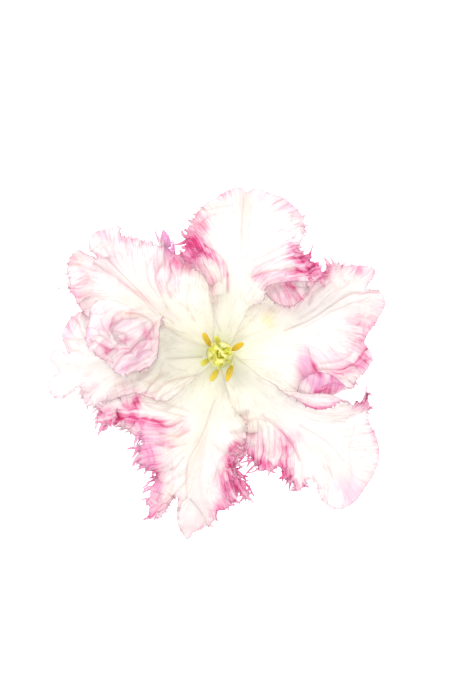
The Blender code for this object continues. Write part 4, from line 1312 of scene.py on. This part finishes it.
def petal_surface():
    """Cream flushed with pink along its veins and margins, yellow in the throat, and thin."""
    look = Surface("petal_fine")
    vein = look.add("Attribute", attribute_name="vein").outputs["Vector"]
    pink, lilac, edge = look.mark("blush")
    far, warm_shade, stain = look.mark("zone")
    rim, shallow, middle = look.mark("rim")
    valley, crushed, crease = look.mark("fold")
    place = look.add("TexCoord").outputs["Object"]
    streak = look.spread(look.noise(look.stretched(vein, (1.5, 0.5, 1)), 1, 3), 0.36, 0.64)
    fine = look.spread(look.noise(look.stretched(vein, (5.5, 1.1, 1)), 1, 2), 0.3, 0.7)
    thread = look.noise(look.stretched(vein, (1.9, 0.8, 1)), 1, 4)
    thread = look.math("ABSOLUTE", look.math("SUBTRACT", thread, 0.5))
    thread = look.spread(thread, 0.0, 0.03, 1, 0)
    mottle = look.noise(place, 260, 4)
    blotch = look.spread(look.noise(place, 190, 3), 0.35, 0.65)

    # The flush follows the pink strokes, more in streaks, valleys and veins than between them.
    share = look.plus(look.sum_of((streak, 0.26), (valley, 0.22), (thread, 0.26)), 0.17)
    share = look.scaled(share, fine, 0.7, 1.25)
    share = look.scaled(share, blotch, 0.65, 1.2)
    reach = look.sum_of((shallow, 0.08), (edge, 0.22))
    flush = look.times(look.plus(pink, reach), share)
    # Crushed places and sunk creases flush deeper pink: painted shade in the folds.
    folds = look.sum_of((crushed, 0.6), (crease, 0.4))
    flush = look.plus(flush, look.scaled(folds, pink, 0.12, 1), True)
    colour = look.ramp(flush, FLUSH)

    # The lilac strokes, the painted warm shade of the warm strokes, and the tints of the throat,
    # its heart and a stain.
    colour = look.mix(look.scaled(lilac, streak, 0.25, 0.6, True), colour, LILAC)
    colour = look.mix(look.scaled(warm_shade, streak, 0.15, 0.8, True), colour, PAINTED_WARM_SHADE, "MULTIPLY")
    colour = look.mix(look.spread(far, 46, 6, 0, 0.6), colour, THROAT)
    heart = look.scaled(look.spread(far, 12, 5.5, 0, 0.35), streak, 0.6, 1)
    colour = look.mix(heart, colour, HEART)
    grains = look.spread(look.noise(place, 2600, 2), 0.48, 0.6)
    colour = look.mix(look.scaled(stain, grains, 0.15, 0.7, True), colour, STAIN)

    # Painted shade: thin dark lines along the veins, in sunk creases and crushed places, and a dark
    # outline along the very margin.
    painted_lines = look.times(thread, look.spread(shallow, 0.0, 0.6, 0.2, 0.55))
    painted_lines = look.scaled(painted_lines, middle, 1.0, 0.3)
    folded = look.sum_of((crease, 0.65), (crushed, 0.5))
    painted_lines = look.math("MAXIMUM", painted_lines, folded, True)
    colour = look.mix(painted_lines, colour, PAINTED_LINE_SHADE, "MULTIPLY")
    # Painted shade: a thin dark outline along the very margin of the flushed parts.
    painted_edge = look.times(look.spread(rim, 0.45, 0.05), look.spread(edge, 0.1, 0.9, 0.2, 0.75))
    colour = look.mix(painted_edge, colour, PAINTED_EDGE_SHADE, "MULTIPLY")

    # Fine relief, with the veins sunk in, and a skin that lets some light through.
    height = look.sum_of((fine, 0.7), (look.noise(place, 2300, 3), 0.4))
    normal = look.bump(look.math("SUBTRACT", height, thread), 0.5, PETAL_RELIEF)
    skin = look.add("BsdfPrincipled", {
        "Base Color": colour,
        "Roughness": look.spread(mottle, 0.3, 0.7, 0.46, 0.6),
        "Specular IOR Level": 0.25,
        "Sheen Weight": 0.08,
        "Sheen Roughness": 0.45,
        "Normal": normal,
    })
    through = look.add("BsdfTranslucent", {"Color": colour, "Normal": normal})
    both = look.add("MixShader", {0: LET_THROUGH, 1: skin.outputs[0], 2: through.outputs[0]})
    return look.finish(both.outputs[0])


def plant_surface(name, dark, light, stretch, scale, bump, roughness=0.5, grain=0.0, top=None):
    """A waxy or dusty plant surface: two colours in stretched noise, with fine relief.

    A top is the colour of what lies high, the height where it starts and where it is full.
    On the stigma it is a painted highlight on what stands high.
    """
    look = Surface(name)
    place = look.add("TexCoord").outputs["Object"]
    flecks = look.noise(look.stretched(place, stretch), scale, 4, 0.6)
    fine = look.noise(place, scale * 3.1, 3)
    colour = look.mix(look.spread(flecks, 0.34, 0.66), (*dark, 1), (*light, 1))
    if top:
        tint, start, full = top
        height = look.add("SeparateXYZ", {0: place}).outputs[2]
        rise = look.plus(height, look.times(flecks, 0.3 * (full - start)))
        colour = look.mix(look.spread(rise, start, full), colour, (*tint, 1))
    grains = look.spread(fine, 0.35, 0.7, 0, 0.25 + grain)
    colour = look.mix(grains, colour, (*light, 1), "SOFT_LIGHT")
    skin = look.add("BsdfPrincipled", {
        "Base Color": colour,
        "Roughness": look.spread(fine, 0.3, 0.7, roughness - 0.08, roughness + 0.1),
        "Specular IOR Level": 0.3,
        "Subsurface Weight": 0.15,
        "Subsurface Scale": 0.001,
        "Normal": look.bump(look.plus(flecks, fine), bump, PLANT_RELIEF),
    })
    return look.finish(skin.outputs[0])


# The pistil, the stamens and the stalk

def lathe(rings, columns, shape):
    """Corners and faces of a closed body whose rings follow shape(turn, share)."""
    turns = 2 * math.pi * np.arange(columns) / columns
    corners = [shape(turn, j / rings) for j in range(rings + 1) for turn in turns]
    faces = []
    for j in range(rings):
        for i in range(columns):
            a, b = j * columns + i, j * columns + (i + 1) % columns
            faces += [(a, b, b + columns), (a, b + columns, a + columns)]
    low, high = len(corners), len(corners) + 1
    first, last = np.array(corners[:columns]), np.array(corners[-columns:])
    corners += [tuple(first.mean(axis=0)), tuple(last.mean(axis=0))]
    top = rings * columns
    for i in range(columns):
        k = (i + 1) % columns
        faces += [(low, k, i), (high, top + i, top + k)]
    return np.array(corners), np.array(faces)


def ovary_point(turn, share):
    """A three-cornered column with a furrow down the middle of each side and each corner."""
    low, high = OVARY_LOW.z / MM, OVARY_HIGH.z / MM
    swell = math.sin(math.pi * (0.2 + 0.62 * share)) ** 0.6
    corner = math.cos(3 * turn)
    side_furrow = 0.07 * math.exp(-(((1 + corner) / 0.12) ** 2))
    corner_furrow = 0.03 * math.exp(-(((1 - corner) / 0.04) ** 2))
    radius = OVARY_RADIUS * swell * (1 + 0.1 * corner - (side_furrow + corner_furrow))
    return radius * math.cos(turn), radius * math.sin(turn), low + (high - low) * share


def stigma_point(turn, share):
    """A flared, folded crest in three lobes, and a winding ridge on top, painted pale as a highlight."""
    steps = np.linspace(0, 1, len(STIGMA_SIDE))
    out, up = (np.interp(share, steps, column) for column in zip(*STIGMA_SIDE))
    twist = turn + 0.5 * share
    lobe = math.cos(3 * (twist - 0.6))
    flare = min(1, 3 * share)
    crimp = 1 + flare * (0.10 * math.sin(9 * turn + 2) + 0.05 * math.sin(23 * turn + 5 * share))
    radius = STIGMA_RADIUS * out * (0.76 + 0.24 * lobe if share > 0.1 else 0.95) * crimp
    foot, top = STIGMA_LOW.z / MM, STIGMA_HIGH.z / MM
    height = foot + (top - foot) / 1.03 * up * (1 + 0.10 * lobe * share)
    x, y = radius * math.cos(turn), radius * math.sin(turn)
    fold = 0.9 * x + 1.7 * math.sin(0.9 * y + 0.8) + 1.2 * math.sin(1.2 * (x - 0.7 * y) + 1)
    valley = 1 - abs(math.sin(fold))
    ridge = crease_shares(np.array([[x, y]]), [(0.6, 0, STIGMA_RIDGE)])[0, 0]
    over = flare * smooth_step((share - 0.3) / 0.3)
    height += over * (1.3 * ridge - 0.9 - 1.9 * valley * (1 - ridge))
    height += 0.5 * flare * math.sin(1.9 * x + 0.6) * math.sin(1.7 * y - 0.4)
    height += 0.15 * flare * math.sin(31 * turn) * math.sin(19 * share)
    return x, y, height


def stalk_point(turn, share):
    """The stub with its cut end, and the receptacle on it, with ribs that grow upwards."""
    side = np.array(STALK_SIDE)
    run = run_along(side)
    radius = np.interp(share * run[-1], run, side[:, 0])
    height = np.interp(share * run[-1], run, side[:, 1])
    ribs = 1 - 0.008 * math.cos(18 * turn) - 0.01 * math.cos(6 * turn + 0.3 * height)
    ribs -= 0.05 * share**4 * (math.cos(6 * turn + 1) + 0.5 * math.cos(31 * turn))
    return radius * ribs * math.cos(turn), radius * ribs * math.sin(turn), height


def frame_along(way):
    """A way's direction and two directions across it, the second of them the higher one."""
    way = way / np.linalg.norm(way)
    across = np.cross(way, (0, 0, 1))
    across /= np.linalg.norm(across)
    return way, across, np.cross(across, way)


def make_anther(number, inner, outer, low, high, surface):
    """Two long pollen sacs side by side, split open and crusted with pollen."""
    start, end = np.array([*inner, low]), np.array([*outer, high])
    way, across, up = frame_along(end - start)
    length = np.linalg.norm(end - start)
    draw = random.Random(number)
    waves = [
        (draw.uniform(5, 17), draw.uniform(3, 11), draw.uniform(0, 6)) for _ in range(CRUST_WAVES)
    ]

    def point(turn, share):
        run = math.cos(math.pi * (1 - share))
        blunt = math.copysign(abs(run) ** 0.8, run)
        round_off = max(1 - run * run, 0) ** 0.5
        width = math.cos(turn) * ANTHER_RADIUS
        depth = math.sin(turn) * ANTHER_FLATNESS * ANTHER_RADIUS
        split = math.exp(-((width / ANTHER_SPLIT) ** 2)) * round_off
        depth -= math.copysign(ANTHER_SPLIT * split, depth)
        crust = sum(math.sin(a * turn + b * 6 * share + c) for a, b, c in waves) / CRUST_WAVES
        swell = round_off * (1 + 0.07 * crust + 0.05 * math.sin(5 * math.pi * share + number))
        return tuple(
            (start + end) / 2 + way * blunt * length / 2
            + swell * (across * width + up * depth)
        )

    corners, faces = lathe(44, 44, point)
    new_piece(f"anther_{number}", corners, faces[:, ::-1], "anther", surface)


def make_filament(number, inner, low, surface):
    """A fleshy stalk, wide at its foot and thin under its anther."""
    foot = [*(FILAMENT_CIRCLE * direction(math.atan2(inner[1], inner[0]))), RECEPTACLE_TOP + SEAM]
    foot, head = np.array(foot), np.array([*inner, low - SEAM])
    _, across, up = frame_along(head - foot)

    def point(turn, share):
        radius = FILAMENT_RADIUS * (1.1 - 0.5 * share) * (1 + 0.04 * math.cos(5 * turn + 7 * share))
        radius *= min(1, 0.6 + 12 * share, 0.5 + 10 * (1 - share))
        centre = foot + (head - foot) * share
        across_part = FILAMENT_FLATNESS * across * math.cos(turn)
        return tuple(centre + radius * (across_part + up * math.sin(turn)))

    corners, faces = lathe(28, 20, point)
    new_piece(f"filament_{number}", corners, faces[:, ::-1], "filament", surface)


# The studio

def make_floor():
    look = Surface("studio_floor")
    place = look.add("TexCoord").outputs["Object"]
    tint = look.mix(look.noise(place, 30, 3), (0.93, 0.93, 0.93, 1), (0.96, 0.955, 0.955, 1))
    shader = look.add("BsdfPrincipled", {
        "Base Color": tint,
        "Roughness": 0.85,
        "Specular IOR Level": 0.1,
        "Emission Color": (1, 1, 1, 1),
        "Emission Strength": FLOOR_GLOW,
    })
    corners = [
        (FLOOR_HALF * x, FLOOR_HALF * y, 0) for x, y in ((-1, -1), (1, -1), (1, 1), (-1, 1))
    ]
    mesh = bpy.data.meshes.new("studio_floor")
    mesh.from_pydata(corners, [], [(0, 1, 2, 3)])
    mesh.materials.append(look.finish(shader.outputs[0]))
    floor = new_object("studio_floor", mesh)
    floor.location.z = -FLOOR_DROP


def make_light(name, place, size, energy):
    lamp = bpy.data.lights.new(name, "AREA")
    lamp.shape = "DISK"
    lamp.size = size
    lamp.energy = energy
    light = new_object(name, lamp)
    light.location = place
    light.rotation_euler = (AXIS - Vector(place)).to_track_quat("-Z", "Y").to_euler()


def make_studio():
    make_floor()
    world = bpy.data.worlds.new("studio")
    world.use_nodes = True
    sky = world.node_tree.nodes["Background"]
    sky.inputs["Color"].default_value = (1.0, 1.0, 1.0, 1)
    sky.inputs["Strength"].default_value = SKY_STRENGTH
    bpy.context.scene.world = world
    for number, (place, size, energy) in enumerate(LAMPS, 1):
        make_light(f"lamp_{number}", place, size, energy)
    bpy.context.scene.view_settings.view_transform = "Standard"


def make_camera():
    data = bpy.data.cameras.new("camera")
    data.sensor_fit = "VERTICAL"
    data.sensor_height = SENSOR
    data.lens = SENSOR * (CAMERA_HEIGHT - VIEW_LEVEL) / VIEW_HEIGHT
    camera = new_object("camera", data)
    camera.location = (AXIS.x + VIEW_MIDDLE[0], AXIS.y + VIEW_MIDDLE[1], CAMERA_HEIGHT)
    bpy.context.scene.camera = camera


def make_petals():
    surface = petal_surface()
    covers = []
    for table in PETALS:
        cover = make_petal({**PLAIN, **table}, covers, surface)
        if table["whorl"] == "inner":
            covers.append(cover)


def make_middle():
    """The stalk, the ovary and the stigma: each with its looks and its shape."""
    green = plant_surface(
        "stalk_fine", (0.30, 0.42, 0.14), (0.55, 0.64, 0.30), (1, 1, 0.12), 900, 0.3,
        top=((0.90, 0.89, 0.46), 9 * MM, 13 * MM),
    )
    new_piece("stalk", *lathe(90, 96, stalk_point), "stalk", green)
    pale = plant_surface(
        "ovary_fine", (0.50, 0.52, 0.08), (0.78, 0.78, 0.26), (1, 1, 0.3), 700, 0.25,
        top=((0.85, 0.85, 0.36), 22 * MM, 27 * MM),
    )
    new_piece("ovary", *lathe(48, 96, ovary_point), "ovary", pale)
    # The stigma's top colour is a painted highlight on its raised ridge and lobes, and leaves its slits in
    # the darker colours as painted shade.
    velvet = plant_surface(
        "stigma_fine", (0.50, 0.50, 0.05), (0.74, 0.72, 0.13), (1, 1, 1), 1300, 0.6, 0.7,
        top=((0.92, 0.88, 0.36), STIGMA_HIGH.z - 1.6 * MM, STIGMA_HIGH.z + 0.1 * MM),
    )
    new_piece("stigma", *lathe(80, 240, stigma_point), "stigma", velvet)


def make_stamens():
    waxy = plant_surface(
        "filament_fine", (0.62, 0.62, 0.10), (0.86, 0.85, 0.34), (1, 1, 0.2), 900, 0.2
    )
    for number, (inner, outer, low, high, ripe) in enumerate(ANTHERS, 1):
        make_filament(number, inner, low, waxy)
        dark, light, gold = GREEN_ANTHER * (1 - ripe) + RIPE_ANTHER * ripe
        dusty = plant_surface(
            f"anther_{number}_fine", dark, light, (1, 1, 1), 1100, 0.8, 0.85, 0.4,
            top=(gold, low * MM, high * MM),
        )
        make_anther(number, inner, outer, low, high, dusty)


make_camera()
make_studio()
make_petals()
make_middle()
make_stamens()
